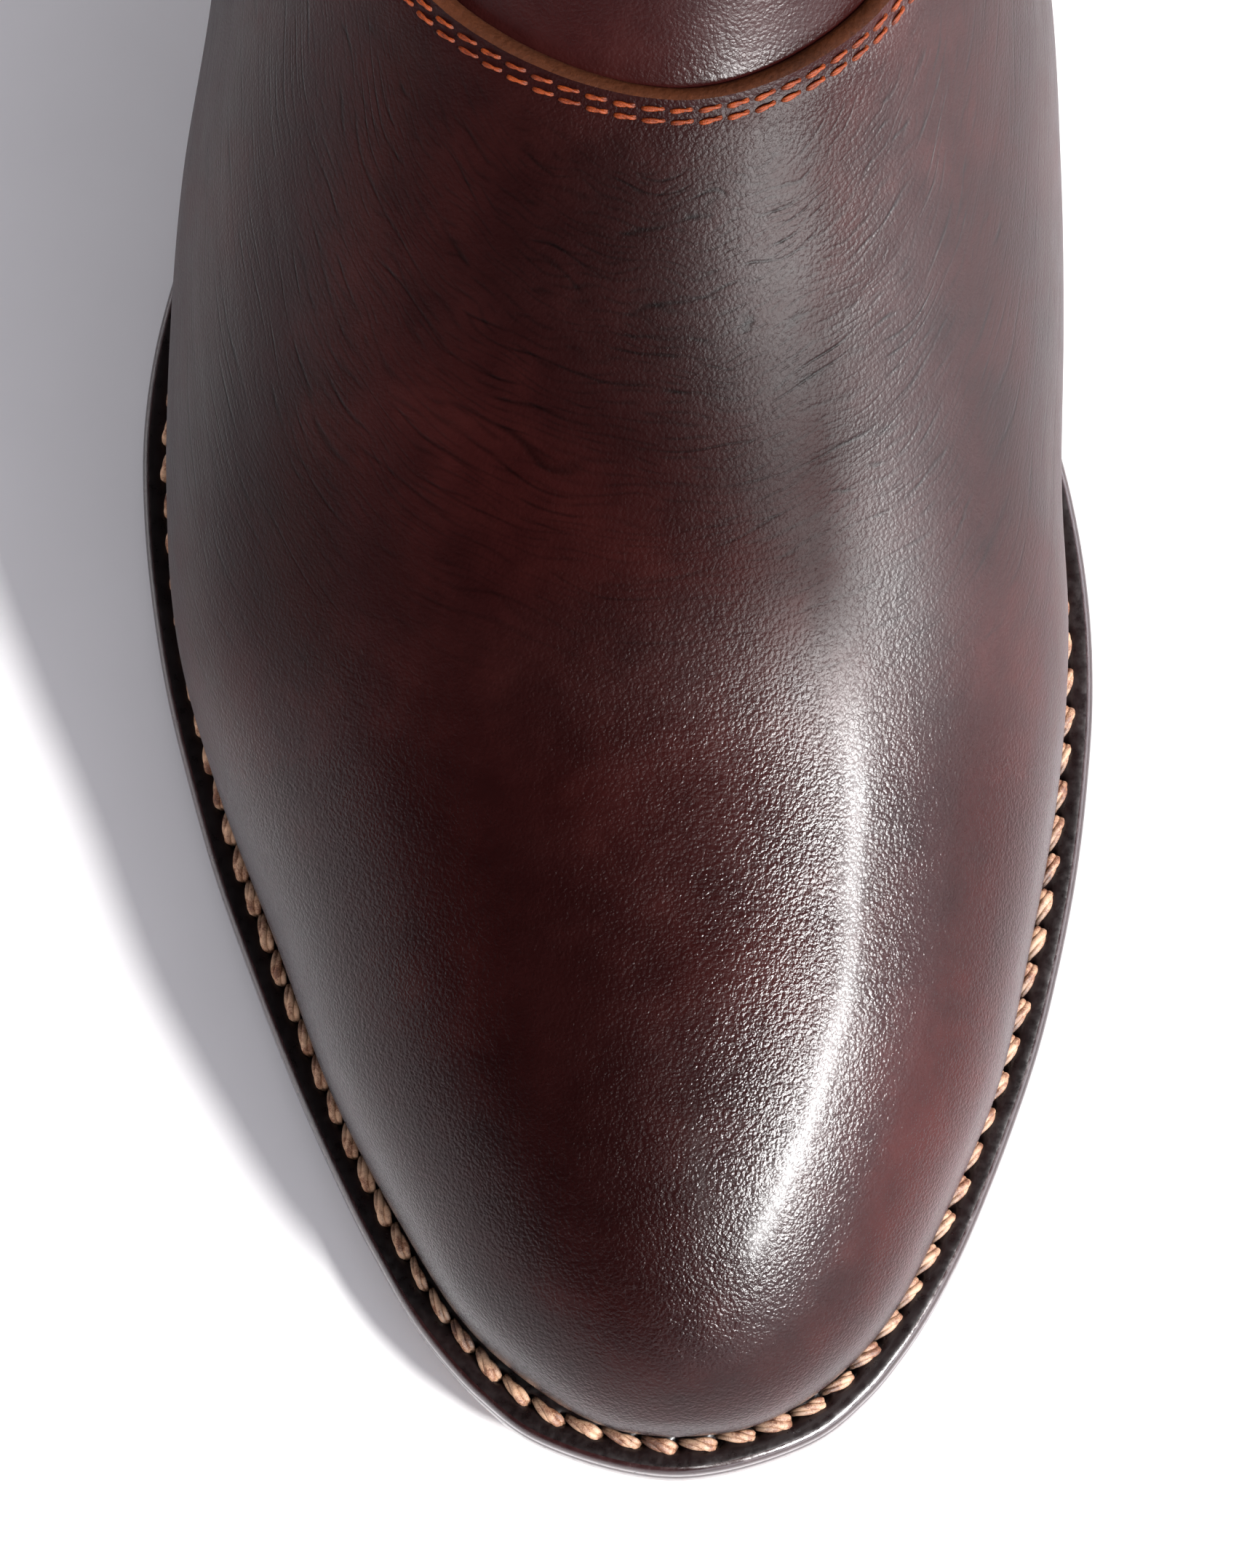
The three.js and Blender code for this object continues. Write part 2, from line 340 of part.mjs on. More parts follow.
// stitch lines following the throat of the vamp
function throatPoint(th) {          // where the skin meets the throat line
  const F = (p) => { // above (+) or below (-) the throat line
    const z = p.z + THROAT_SHEAR * (p.x - 4.4);
    let best = 1e9, sg = 1;
    for (let i = 0; i < THROAT.length - 1; i++) {
      const [a, b] = [THROAT[i], THROAT[i + 1]], ax = b[0] - a[0], az = b[1] - a[1], L = ax * ax + az * az;
      const t = Math.min(1, Math.max(0, ((p.y - a[0]) * ax + (z - a[1]) * az) / L));
      const dx = p.y - a[0] - ax * t, dz = z - a[1] - az * t, d = Math.hypot(dx, dz);
      if (d < best - 1e-9) { best = d; sg = Math.sign(ax * (z - a[1]) - az * (p.y - a[0])); }
    }
    return best * sg;
  };
  let u0 = 6, u1 = 18, f0 = F(skin(u0, th));
  for (let u = 6.1; u <= 18; u += 0.1) { const f = F(skin(u, th)); if (f0 * f < 0) { u1 = u; u0 = u - 0.1; break; } f0 = f; }
  for (let k = 0; k < 30; k++) { const m = (u0 + u1) / 2; if (F(skin(u0, th)) * F(skin(m, th)) <= 0) u1 = m; else u0 = m; }
  return [(u0 + u1) / 2, th];
}
const ths = []; for (let a = 8; a <= 172; a += 4) ths.push(a * Math.PI / 180);
const seam = ths.map(throatPoint);
function seamLine(back, lift) {
  return seam.map(([u, th], i) => {
    const p = skin(u, th), a = seam[Math.max(0, i - 1)], b = seam[Math.min(seam.length - 1, i + 1)];
    const t = skin(...b).sub(skin(...a)).normalize(), n = normal(u, th);
    const w = n.clone().cross(t).normalize(); if (w.y > 0) w.negate();
    if (th < 0.5 || th > 2.64) { if (w.z > 0 && Math.abs(w.z) > Math.abs(w.y)) w.negate(); }
    return p.addScaledVector(w, back).addScaledVector(n, lift);
  });
}
add('vamp_thread_outer', tube(seamLine(3.6, GAP + THREAD_R + 0.15), THREAD_R, 5, 44), THREADC, 0.6);
add('vamp_thread_inner', tube(seamLine(2.3, GAP + THREAD_R + 0.15), THREAD_R, 5, 44), THREADC, 0.6);

// ------------------------------------------------- origin: bottom centre of the box
group.updateMatrixWorld(true);
const box = new THREE.Box3().setFromObject(group, true);
group.position.set(-(box.min.x + box.max.x) / 2, -(box.min.y + box.max.y) / 2, -box.min.z);
group.updateMatrixWorld(true);

export default group;
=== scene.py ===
import bpy, math
import numpy as np
from mathutils import Vector, Matrix
from mathutils.geometry import delaunay_2d_cdt


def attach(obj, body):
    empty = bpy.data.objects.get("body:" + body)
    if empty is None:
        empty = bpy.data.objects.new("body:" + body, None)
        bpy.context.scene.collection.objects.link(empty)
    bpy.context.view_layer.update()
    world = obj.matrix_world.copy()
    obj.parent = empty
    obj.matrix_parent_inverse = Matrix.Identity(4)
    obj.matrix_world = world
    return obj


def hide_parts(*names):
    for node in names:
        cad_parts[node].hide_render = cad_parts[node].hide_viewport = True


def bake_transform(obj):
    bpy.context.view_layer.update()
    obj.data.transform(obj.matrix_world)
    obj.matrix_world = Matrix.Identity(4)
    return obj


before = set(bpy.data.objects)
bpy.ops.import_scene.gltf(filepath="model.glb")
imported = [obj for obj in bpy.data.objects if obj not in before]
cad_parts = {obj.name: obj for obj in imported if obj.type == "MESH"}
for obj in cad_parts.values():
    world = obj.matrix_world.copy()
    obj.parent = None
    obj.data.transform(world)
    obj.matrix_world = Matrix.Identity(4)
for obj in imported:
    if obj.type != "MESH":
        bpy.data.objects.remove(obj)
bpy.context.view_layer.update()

RNG = np.random.RandomState(7)

# ------------------------------------------------------------------ frame
# The surface tables are in millimetres: x to the medial side, s behind the
# toe tip, z up.  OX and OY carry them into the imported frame.
OX, OY = -0.64393425, -152.41810912
def W(P):
    P = np.asarray(P, float)
    return (P + np.array([OX, OY, 0.0])) / 1000.0

ST = np.array([
    [4.6, 26, 4.6, 26, 5.6, 0, 0, 0.5, 2, 2, 2],
    [6, 32.5, 6, 19.5, 5.6, 8.6, 8, 0.47, 2, 2.3, 2.3],
    [10.4, 39.5, 10.4, 13.5, 5.6, 16.6, 15.8, 0.42, 2.05, 2.6, 2.6],
    [18.4, 46, 18.4, 9, 5.5, 24.4, 24.4, 0.38, 2.1, 2.9, 2.9],
    [30.4, 52, 30.4, 5, 5.2, 31.2, 31.7, 0.35, 2.15, 3.1, 3.1],
    [45.4, 57, 45.4, 3.2, 4.8, 38, 39.2, 0.33, 2.15, 3.2, 3.2],
    [62.26, 61.5, 62.26, 2.2, 4.4, 42.4, 45, 0.32, 2.1, 3.3, 3.3],
    [79.84, 67, 79.84, 2, 4.2, 45.8, 51.8, 0.31, 2.05, 3.3, 3.3],
    [97.42, 75, 97.42, 2, 4.1, 47.4, 56.6, 0.3, 2, 3.3, 3.3],
    [115, 85.5, 115, 2, 4.2, 46.6, 58.1, 0.3, 1.95, 3.2, 3.3],
    [130, 94.5, 134, 2, 4.4, 46.6, 57.8, 0.31, 1.92, 2.8, 3.3],
    [141, 101.5, 156, 3, 4.6, 46, 56.4, 0.33, 1.92, 2.5, 3.3],
    [149.5, 109, 180, 8, 4.4, 44.8, 52.8, 0.36, 1.95, 2.4, 3.4],
    [156, 116, 208, 19, 3.8, 42, 48.8, 0.4, 2, 2.35, 3.2],
    [161, 123, 240, 29, 3.2, 40, 44.6, 0.44, 2, 2.45, 2.9],
    [165, 130, 272, 31, 2.6, 39, 42, 0.47, 2.05, 2.4, 2.6],
    [168, 137, 297, 38.5, 2, 39, 41.5, 0.49, 2.05, 2.4, 2.5],
    [170.4, 145, 303.4, 60, 1.6, 39.6, 41.6, 0.5, 2.05, 2.2, 2.2],
    [172.2, 154, 304, 84, 1.2, 40.2, 41.8, 0.5, 2.05, 2, 2],
    [173.6, 165, 299.5, 108, 1, 40.6, 41.8, 0.5, 2.05, 1.95, 1.95],
    [174.6, 180, 294, 133, 1, 41, 41.6, 0.5, 2.05, 1.95, 1.95],
    [174.8, 202, 291, 164, 1, 42.5, 42.8, 0.5, 2.05, 1.95, 1.95],
    [174, 230, 290.8, 200, 1, 45.4, 45.6, 0.5, 2.05, 1.95, 1.95],
    [172.6, 262, 293, 240, 1, 49, 49.2, 0.5, 2.05, 1.95, 1.95],
    [170.8, 298, 297, 284, 1, 53, 53.2, 0.51, 2.05, 1.95, 1.95],
    [169, 336, 301, 328, 1, 56.4, 56.6, 0.51, 2.05, 1.95, 1.95],
    [167.6, 374, 304.5, 372, 1, 58.8, 59, 0.51, 2.05, 1.95, 1.95],
])
NU = len(ST) - 1
SOLE = np.array([[-5,9.2],[0,8.0],[10,6.1],[20,4.4],[30,2.95],[40,1.75],[50,.85],[60,.25],[70,0],[150,0],[158,.25],[166,.9],[174,2.3],[182,4.7],[190,8.0],[200,12.6],[210,17.2],[220,21.4],[230,25.0],[240,28.0],[250,30.2],[260,31.5],[270,32],[310,32]])
EDGE_L = np.array([[1.4, 5.65], [5.5, -10.4], [10.6, -17.2], [15.8, -22], [21, -25.8], [26.2, -28.8], [31.4, -31.6], [41.9, -36.6], [52.4, -41.1], [63, -45.2], [73.5, -49], [84.1, -52.1], [94.7, -54.8], [105.4, -56.7], [116.1, -57.9], [126.9, -58.2], [137.8, -57], [150, -54], [165, -49.2], [180, -44.8], [200, -40.6], [220, -38], [240, -36.6], [258, -35.8], [272, -34], [284, -30], [292.5, -23.6], [298.8, -15.5], [302.3, -6.5], [303.2, 1]])
EDGE_M = np.array([[1.4, 5.65], [5.5, 21.3], [10.6, 27.8], [15.8, 32.1], [21, 35.5], [26.2, 38.3], [31.4, 40.7], [41.9, 44.9], [52.4, 48.5], [63, 51.2], [73.5, 53.3], [84.1, 54.7], [94.7, 55.5], [105.4, 55.3], [116.1, 54], [126, 51.8], [137, 48], [150, 44.6], [165, 41], [180, 38.6], [200, 37], [220, 36.4], [240, 36.4], [258, 36.6], [272, 34.8], [284, 31.2], [292.5, 25.2], [298.8, 17.2], [302.3, 8.2], [303.2, 1]])
THROAT = np.array([[112, 101], [126, 101.2], [138, 100.9], [149.3, 99], [160, 97.8], [170, 95.6], [180, 91.8], [189, 86], [197, 78.3], [204, 68.5], [209, 57], [212.5, 45], [214.5, 30], [215, 10], [215, -10]], float)
SHEAR = 0.04
TOPLINE = np.array([[140,364],[168,363],[200,359.5],[235,356],[270,353],[302,351.5],[330,351]], float)
COUNTER_TOP = np.array([[190,86.5],[215,85.5],[240,88],[265,93],[290,99.5],[325,106]], float)
SEAM_S = 234.0
UPPER_Z = 9.3
BREAST = 236.0

def zo(s):
    return np.interp(s, SOLE[:, 0], SOLE[:, 1])

def smooth01(a):
    a = np.clip(a, 0, 1)
    return a * a * (3 - 2 * a)

# ------------------------------------------------------------ the last's surface
def row(u):
    t = np.clip(np.asarray(u, float), 0, NU)
    i = np.minimum(t.astype(int), NU - 1)
    f = (t - i)[..., None]
    p1, p2 = ST[i], ST[i + 1]
    p0 = np.where((i > 0)[..., None], ST[np.maximum(i - 1, 0)], 2 * p1 - p2)
    p3 = np.where((i < NU - 1)[..., None], ST[np.minimum(i + 2, NU)], 2 * p2 - p1)
    return 0.5 * (2 * p1 + (-p0 + p2) * f + (2 * p0 - 5 * p1 + 4 * p2 - p3) * f * f + (-p0 + 3 * p1 - 3 * p2 + p3) * f ** 3)

def skin(u, th):
    u, th = np.broadcast_arrays(np.asarray(u, float), np.asarray(th, float))
    R = row(u)
    sT, zT, sB, zB, xc, wM, wL, q, nT, nBm, nBl = [R[..., k] for k in range(11)]
    c, s = np.cos(th), np.sin(th)
    n = np.where(s > 0, nT, np.where(c > 0, nBm, nBl))
    x = xc + np.where(c > 0, wM, wL) * np.sign(c) * np.abs(c) ** (2 / n)
    r = np.abs(s) ** (2 / n)
    tau = np.where(s > 0, q + (1 - q) * r, q - q * r)
    return np.stack([x, sB + (sT - sB) * tau, zB + (zT - zB) * tau], -1)

E = 1e-3
def normal(u, th):
    u, th = np.broadcast_arrays(np.asarray(u, float), np.asarray(th, float))
    v = np.clip(u, 0.02, NU - 0.002)
    a = skin(v + E, th) - skin(v - E, th)
    b = skin(v, th + E) - skin(v, th - E)
    n = np.cross(a, b)
    return n / (np.linalg.norm(n, axis=-1, keepdims=True) + 1e-12)

# smooth value noise on a periodic lattice, seeded, for shape only
_LAT = RNG.rand(64, 64, 64).astype(np.float32)
def noise3(P, scale):
    Q = np.asarray(P, float) / scale
    i = np.floor(Q).astype(int)
    f = Q - i
    f = f * f * (3 - 2 * f)
    i &= 63
    j = (i + 1) & 63
    def L(a, b, c):
        return _LAT[a, b, c]
    x0, y0, z0 = i[..., 0], i[..., 1], i[..., 2]
    x1, y1, z1 = j[..., 0], j[..., 1], j[..., 2]
    fx, fy, fz = f[..., 0], f[..., 1], f[..., 2]
    c00 = L(x0, y0, z0) * (1 - fx) + L(x1, y0, z0) * fx
    c10 = L(x0, y1, z0) * (1 - fx) + L(x1, y1, z0) * fx
    c01 = L(x0, y0, z1) * (1 - fx) + L(x1, y0, z1) * fx
    c11 = L(x0, y1, z1) * (1 - fx) + L(x1, y1, z1) * fx
    return ((c00 * (1 - fy) + c10 * fy) * (1 - fz) + (c01 * (1 - fy) + c11 * fy) * fz) * 2 - 1

def ankle_folds(P):
    """soft folds where the leg bends over the foot, in mm outwards"""
    x, s, z = P[..., 0], P[..., 1], P[..., 2]
    front = smooth01((212 - s) / 42)
    back = smooth01((s - 250) / 34)
    warp = 9.0 * noise3(P, 46.0) + 2.5 * noise3(P + 17.0, 19.0)
    amp = 0.55 + 0.75 * noise3(P + 53.0, 40.0)
    m1 = smooth01((z - 105) / 16) * smooth01((214 - z) / 62)
    ph = (z + warp + 0.22 * (s - 180) - 0.10 * x) / 22.0
    a = 1.55 * np.abs(np.sin(np.pi * ph)) ** 0.75 - 0.95
    m2 = smooth01((z - 114) / 20) * smooth01((236 - z) / 60)
    pb = (z + 1.2 * warp - 0.30 * (s - 290) + 0.12 * x) / 27.0 + 0.35
    b = 1.45 * np.abs(np.sin(np.pi * pb)) ** 0.8 - 0.9
    broad = 1.0 * noise3(P + 31.0, 60.0) * smooth01((z - 110) / 40) * smooth01((345 - z) / 40)
    return 1.15 * amp * a * m1 * front + 0.95 * amp * b * m2 * back + broad

def surf(u, th, d):
    P = skin(u, th)
    return P + normal(u, th) * (ankle_folds(P) - np.asarray(d, float))[..., None]

def sdist(p, PL):
    d = np.full(p.shape[:-1], 1e9)
    sg = np.ones(p.shape[:-1])
    for i in range(len(PL) - 1):
        a, b = PL[i], PL[i + 1]
        ab = b - a
        t = np.clip(((p - a) @ ab) / (ab @ ab), 0, 1)
        q = a + t[..., None] * ab
        dd = np.linalg.norm(p - q, axis=-1)
        cr = ab[0] * (p[..., 1] - a[1]) - ab[1] * (p[..., 0] - a[0])
        m = dd < d - 1e-9
        d = np.where(m, dd, d)
        sg = np.where(m, np.sign(cr), sg)
    return d * sg

def side(P, shear=0.0):
    q = P[..., 1:].copy()
    if shear:
        q[..., 1] = q[..., 1] + shear * (P[..., 0] - 4.4)
    return q

# signed fields on the skin, positive on the named side
def f_above_welt(P):   return P[..., 2] - (zo(P[..., 1]) + UPPER_Z)
def f_front(P):        return -sdist(side(P, SHEAR), THROAT)          # vamp side
def f_below_top(P):    return np.interp(P[..., 1], TOPLINE[:, 0], TOPLINE[:, 1]) - P[..., 2]
def f_counter_top(P):
    q = side(P, SHEAR)
    return np.interp(q[..., 0], COUNTER_TOP[:, 0], COUNTER_TOP[:, 1]) - q[..., 1]

# --------------------------------------------------------------- mesh tools
def new_object(name, verts, faces, mats, face_mat=None, smooth=True, sharp=None):
    me = bpy.data.meshes.new(name)
    me.from_pydata([tuple(v) for v in verts], [], [tuple(int(i) for i in f) for f in faces])
    me.validate(verbose=False)
    for m in mats:
        me.materials.append(m)
    if face_mat is not None and len(face_mat) == len(me.polygons):
        me.polygons.foreach_set("material_index", np.asarray(face_mat, np.int32))
    if smooth:
        me.polygons.foreach_set("use_smooth", np.ones(len(me.polygons), bool))
    if sharp is not None:
        me.set_sharp_from_angle(angle=math.radians(sharp))
    me.update()
    ob = bpy.data.objects.new(name, me)
    bpy.context.scene.collection.objects.link(ob)
    return ob

def even_u(u0, u1, step, ths):
    """u samples about step mm apart on the longest of a few lines"""
    uu = np.linspace(u0, u1, 1200)
    best = np.zeros(len(uu) - 1)
    for th in ths:
        L = np.linalg.norm(np.diff(skin(uu, np.full_like(uu, th)), axis=0), axis=1)
        best = np.maximum(best, L)
    c = np.concatenate([[0], np.cumsum(best)])
    n = max(4, int(round(c[-1] / step)))
    return np.interp(np.linspace(0, c[-1], n + 1), c, uu)

def even_th(n):
    """angles spaced evenly by arc length on a typical section"""
    t = np.linspace(-np.pi / 2, 1.5 * np.pi, 1441)
    acc = np.zeros(1440)
    for u in (5.0, 9.0, 13.0, 20.0):
        L = np.linalg.norm(np.diff(skin(np.full_like(t, u), t), axis=0), axis=1)
        acc += L / L.sum()
    c = np.concatenate([[0], np.cumsum(acc)])
    return np.interp(np.linspace(0, c[-1], n + 1)[:-1], c, t)

def clip_shell(name, field, d0, d1, us, ths, mats, pole=False, rim=None, inner=True, extra=None, rim_mat=2, sharp=35):
    """A leather panel: the part of the surface where field(P) > 0, from depth
    d0 to d1, with a rounded cut edge.  rim(P) gives (bulge, slant) in mm."""
    nu, nt = len(us), len(ths)
    U = np.repeat(np.asarray(us)[:, None], nt, 1).astype(float)
    T = np.repeat(np.asarray(ths)[None, :], nu, 0).astype(float)
    def F(u, t):
        return field(skin(u, t))
    f = F(U, T)
    # snap grid points that lie close to the edge onto it
    cand = np.full(f.shape, 9.0)
    nUu, nTt = U.copy(), T.copy()
    def try_snap(a, b, fa, fb, du, dt):
        t = fa / (fa - fb + 1e-30)
        return t
    for axis in (0, 1):
        if axis == 0:
            A = (slice(0, nu - 1), slice(None)); B = (slice(1, nu), slice(None))
            fa, fb = f[A], f[B]
            Ua, Ub, Ta, Tb = U[A], U[B], T[A], T[B]
        else:
            fa, fb = f, np.roll(f, -1, 1)
            Ua, Ub = U, U
            Ta, Tb = T, np.roll(T, -1, 1) + np.where(np.arange(nt) == nt - 1, 2 * np.pi, 0)[None, :]
        cross = (fa * fb) < 0
        t = np.where(cross, fa / np.where(cross, fa - fb, 1), 0.5)
        for which in (0, 1):
            tt = t if which == 0 else 1 - t
            ok = cross & (tt < 0.32)
            idx = np.argwhere(ok)
            for (i, j) in idx:
                tu = Ua[i, j] + (Ub[i, j] - Ua[i, j]) * t[i, j]
                tv = Ta[i, j] + (Tb[i, j] - Ta[i, j]) * t[i, j]
                if axis == 0:
                    I, J = (i, j) if which == 0 else (i + 1, j)
                else:
                    I, J = (i, j) if which == 0 else (i, (j + 1) % nt)
                    if which == 1 and j == nt - 1:
                        tv -= 2 * np.pi
                if tt[i, j] < cand[I, J]:
                    cand[I, J] = tt[i, j]
                    nUu[I, J], nTt[I, J] = tu, tv
    snapped = cand < 9
    U, T = nUu, nTt
    f = F(U, T)
    f[snapped] = 0.0
    verts_u, verts_t = [], []
    vid = -np.ones(f.shape, int)
    keep = f >= 0
    ids = np.argwhere(keep)
    vid[keep] = np.arange(len(ids))
    verts_u = list(U[keep]); verts_t = list(T[keep])
    pole_id = None
    if pole:
        pole_id = len(verts_u); verts_u.append(0.0); verts_t.append(0.0)
    cut = {}
    def cross_vertex(i0, j0, i1, j1):
        key = (i0, j0, i1, j1) if (i0, j0) < (i1, j1) else (i1, j1, i0, j0)
        if key in cut:
            return cut[key]
        a0, b0 = U[i0, j0], T[i0, j0]
        a1, b1 = U[i1, j1], T[i1, j1]
        if abs(b1 - b0) > np.pi:
            b1 += -2 * np.pi if b1 > b0 else 2 * np.pi
        f0, f1 = f[i0, j0], f[i1, j1]
        t = f0 / (f0 - f1)
        cut[key] = len(verts_u)
        verts_u.append(a0 + (a1 - a0) * t); verts_t.append(b0 + (b1 - b0) * t)
        return cut[key]
    faces = []
    jn = (np.arange(nt) + 1) % nt
    full = keep[:-1, :] & keep[1:, :] & keep[:-1, jn] & keep[1:, jn]
    anyk = keep[:-1, :] | keep[1:, :] | keep[:-1, jn] | keep[1:, jn]
    for i, j in np.argwhere(anyk):
        k = jn[j]
        corners = [(i, j), (i, k), (i + 1, k), (i + 1, j)]
        if full[i, j]:
            fs = [vid[c] for c in corners]
            if not all(f[c] == 0 for c in corners):
                faces.append(fs)
            continue
        poly = []
        inside = 0
        for a in range(4):
            c0, c1 = corners[a], corners[(a + 1) % 4]
            if f[c0] >= 0:
                poly.append(vid[c0])
                if f[c0] > 0:
                    inside += 1
            if (f[c0] > 0 and f[c1] < 0) or (f[c0] < 0 and f[c1] > 0):
                poly.append(cross_vertex(*c0, *c1))
        if len(poly) >= 3 and inside > 0:
            faces.append(poly)
    if pole:
        for j in range(nt):
            k = jn[j]
            if keep[0, j] and keep[0, k]:
                faces.append([pole_id, vid[0, k], vid[0, j]])
    vu, vt = np.array(verts_u), np.array(verts_t)
    used = np.zeros(len(vu), bool)
    for fc in faces:
        used[fc] = True
    remap = -np.ones(len(vu), int); remap[used] = np.arange(used.sum())
    vu, vt = vu[used], vt[used]
    faces = [[remap[a] for a in fc] for fc in faces]
    Po = surf(vu, vt, np.full(len(vu), d0))
    Nn = normal(vu, vt)
    if pole:
        q = np.argwhere(vu == 0.0)
        for k in q[:, 0]:
            Nn[k] = (0, -1, 0)
            Po[k] = skin(0.0, 0.0) + np.array([0, d0, 0])
    if extra is not None:
        Po = Po + Nn * extra(vu, vt, Po)[:, None]
    Pi = Po - Nn * (d1 - d0)
    # boundary edges
    edge_count = {}
    for fc in faces:
        for a in range(len(fc)):
            p, q = fc[a], fc[(a + 1) % len(fc)]
            key = (p, q) if p < q else (q, p)
            edge_count[key] = edge_count.get(key, 0) + 1
    bedges = []
    for fc in faces:
        for a in range(len(fc)):
            p, q = fc[a], fc[(a + 1) % len(fc)]
            key = (p, q) if p < q else (q, p)
            if edge_count[key] == 1:
                bedges.append((p, q))
    out = np.zeros_like(Po)
    for p, q in bedges:
        t = Po[q] - Po[p]
        w = np.cross(t, Nn[p])
        L = np.linalg.norm(w) + 1e-12
        out[p] += w / L
        out[q] += w / L
    L = np.linalg.norm(out, axis=1, keepdims=True)
    out = np.where(L > 1e-6, out / np.maximum(L, 1e-6), 0)
    bset = sorted({p for e in bedges for p in e})
    bidx = {p: k for k, p in enumerate(bset)}
    b = np.array(bset, int)
    # wind faces so that the outer side looks along the normal
    c = faces[len(faces) // 2]
    fn = np.cross(Po[c[1]] - Po[c[0]], Po[c[2]] - Po[c[0]])
    flip = fn @ Nn[c[0]] < 0
    if flip:
        out = -out
    prof_a = [0.0, 0.10, 0.30, 0.62, 0.88, 1.0]
    V = [Po]
    nv = len(Po)
    if rim is None:
        bul, sl = np.full(len(b), 0.22), np.zeros(len(b))
    else:
        bul, sl = rim(Po[b])
    rows = [b]
    base = nv
    for a in prof_a[1:-1]:
        off = bul * math.sin(math.pi * min(1, max(0, a))) ** 0.6 + sl * math.sin(a * math.pi / 2) ** 0.8
        V.append(Po[b] * (1 - a) + Pi[b] * a + out[b] * off[:, None])
        rows.append(np.arange(base, base + len(b))); base += len(b)
    Pi2 = Pi.copy()
    Pi2[b] = Pi[b] + out[b] * sl[:, None]
    V.append(Pi2)
    rows.append(b + base)
    inner_base = base
    AF = [fc if not flip else fc[::-1] for fc in faces]
    FM = [0] * len(AF)
    for fc in faces:
        g = [inner_base + a for a in fc]
        AF.append(g[::-1] if not flip else g); FM.append(1)
    for p, q in bedges:
        kp, kq = bidx[p], bidx[q]
        for r in range(len(rows) - 1):
            quad = [rows[r][kq], rows[r][kp], rows[r + 1][kp], rows[r + 1][kq]]
            AF.append(quad if not flip else quad[::-1]); FM.append(rim_mat)
    ob = new_object(name, W(np.concatenate(V)), AF, mats, FM, sharp=sharp)
    return ob, vu, vt

def add_attr(ob, name, values):
    at = ob.data.attributes.new(name, "FLOAT", "POINT")
    at.data.foreach_set("value", np.asarray(values, np.float32))

# curves in (u, th) where a field is zero
def cross_u(field, ths, u0, u1, n=260, last=False):
    us = np.linspace(u0, u1, n)
    out_u, out_t = [], []
    for th in ths:
        f = field(skin(us, np.full(n, th)))
        k = np.where(f[:-1] * f[1:] < 0)[0]
        if not len(k):
            continue
        k = k[-1] if last else k[0]
        a, b, fa = us[k], us[k + 1], f[k]
        for _ in range(24):
            m = 0.5 * (a + b)
            fm = field(skin(np.array([m]), np.array([th])))[0]
            if fa * fm <= 0:
                b = m
            else:
                a, fa = m, fm
        out_u.append(0.5 * (a + b)); out_t.append(th)
    return np.array(out_u), np.array(out_t)

def cross_t(field, us, t0, t1, n=90):
    ts = np.linspace(t0, t1, n)
    out_u, out_t = [], []
    for u in us:
        f = field(skin(np.full(n, u), ts))
        k = np.where(f[:-1] * f[1:] < 0)[0]
        if not len(k):
            continue
        k = k[0]
        a, b, fa = ts[k], ts[k + 1], f[k]
        for _ in range(24):
            m = 0.5 * (a + b)
            fm = field(skin(np.array([u]), np.array([m])))[0]
            if fa * fm <= 0:
                b = m
            else:
                a, fa = m, fm
        out_u.append(u); out_t.append(0.5 * (a + b))
    return np.array(out_u), np.array(out_t)

def offset_curve(u, t, w, ref):
    """moves a curve on the surface sideways by w mm, towards the side ref(P) grows"""
    for _ in range(4):
        st = w / 4.0
        P = skin(u, t)
        tan = np.gradient(P, axis=0)
        n = normal(u, t)
        e = np.cross(n, tan)
        e /= np.linalg.norm(e, axis=1, keepdims=True)
        g = ref(P + e * 0.5) - ref(P - e * 0.5)
        e *= np.where(g >= 0, 1, -1)[:, None]
        Su = (skin(u + E, t) - skin(u - E, t)) / (2 * E)
        Sv = (skin(u, t + E) - skin(u, t - E)) / (2 * E)
        a, b2, c = (Su * Su).sum(1), (Su * Sv).sum(1), (Sv * Sv).sum(1)
        p, q = (Su * e).sum(1) * st, (Sv * e).sum(1) * st
        det = a * c - b2 * b2
        u = u + (p * c - q * b2) / det
        t = t + (a * q - b2 * p) / det
    return u, t

def resample(u, t, pitch, d=0.0, phase=0.5, closed=False):
    P = skin(u, t)
    L = np.concatenate([[0], np.cumsum(np.linalg.norm(np.diff(P, axis=0), axis=1))])
    n = int(L[-1] / pitch)
    x = (np.arange(n) + phase) * (L[-1] / n)
    return np.interp(x, L, u), np.interp(x, L, t)

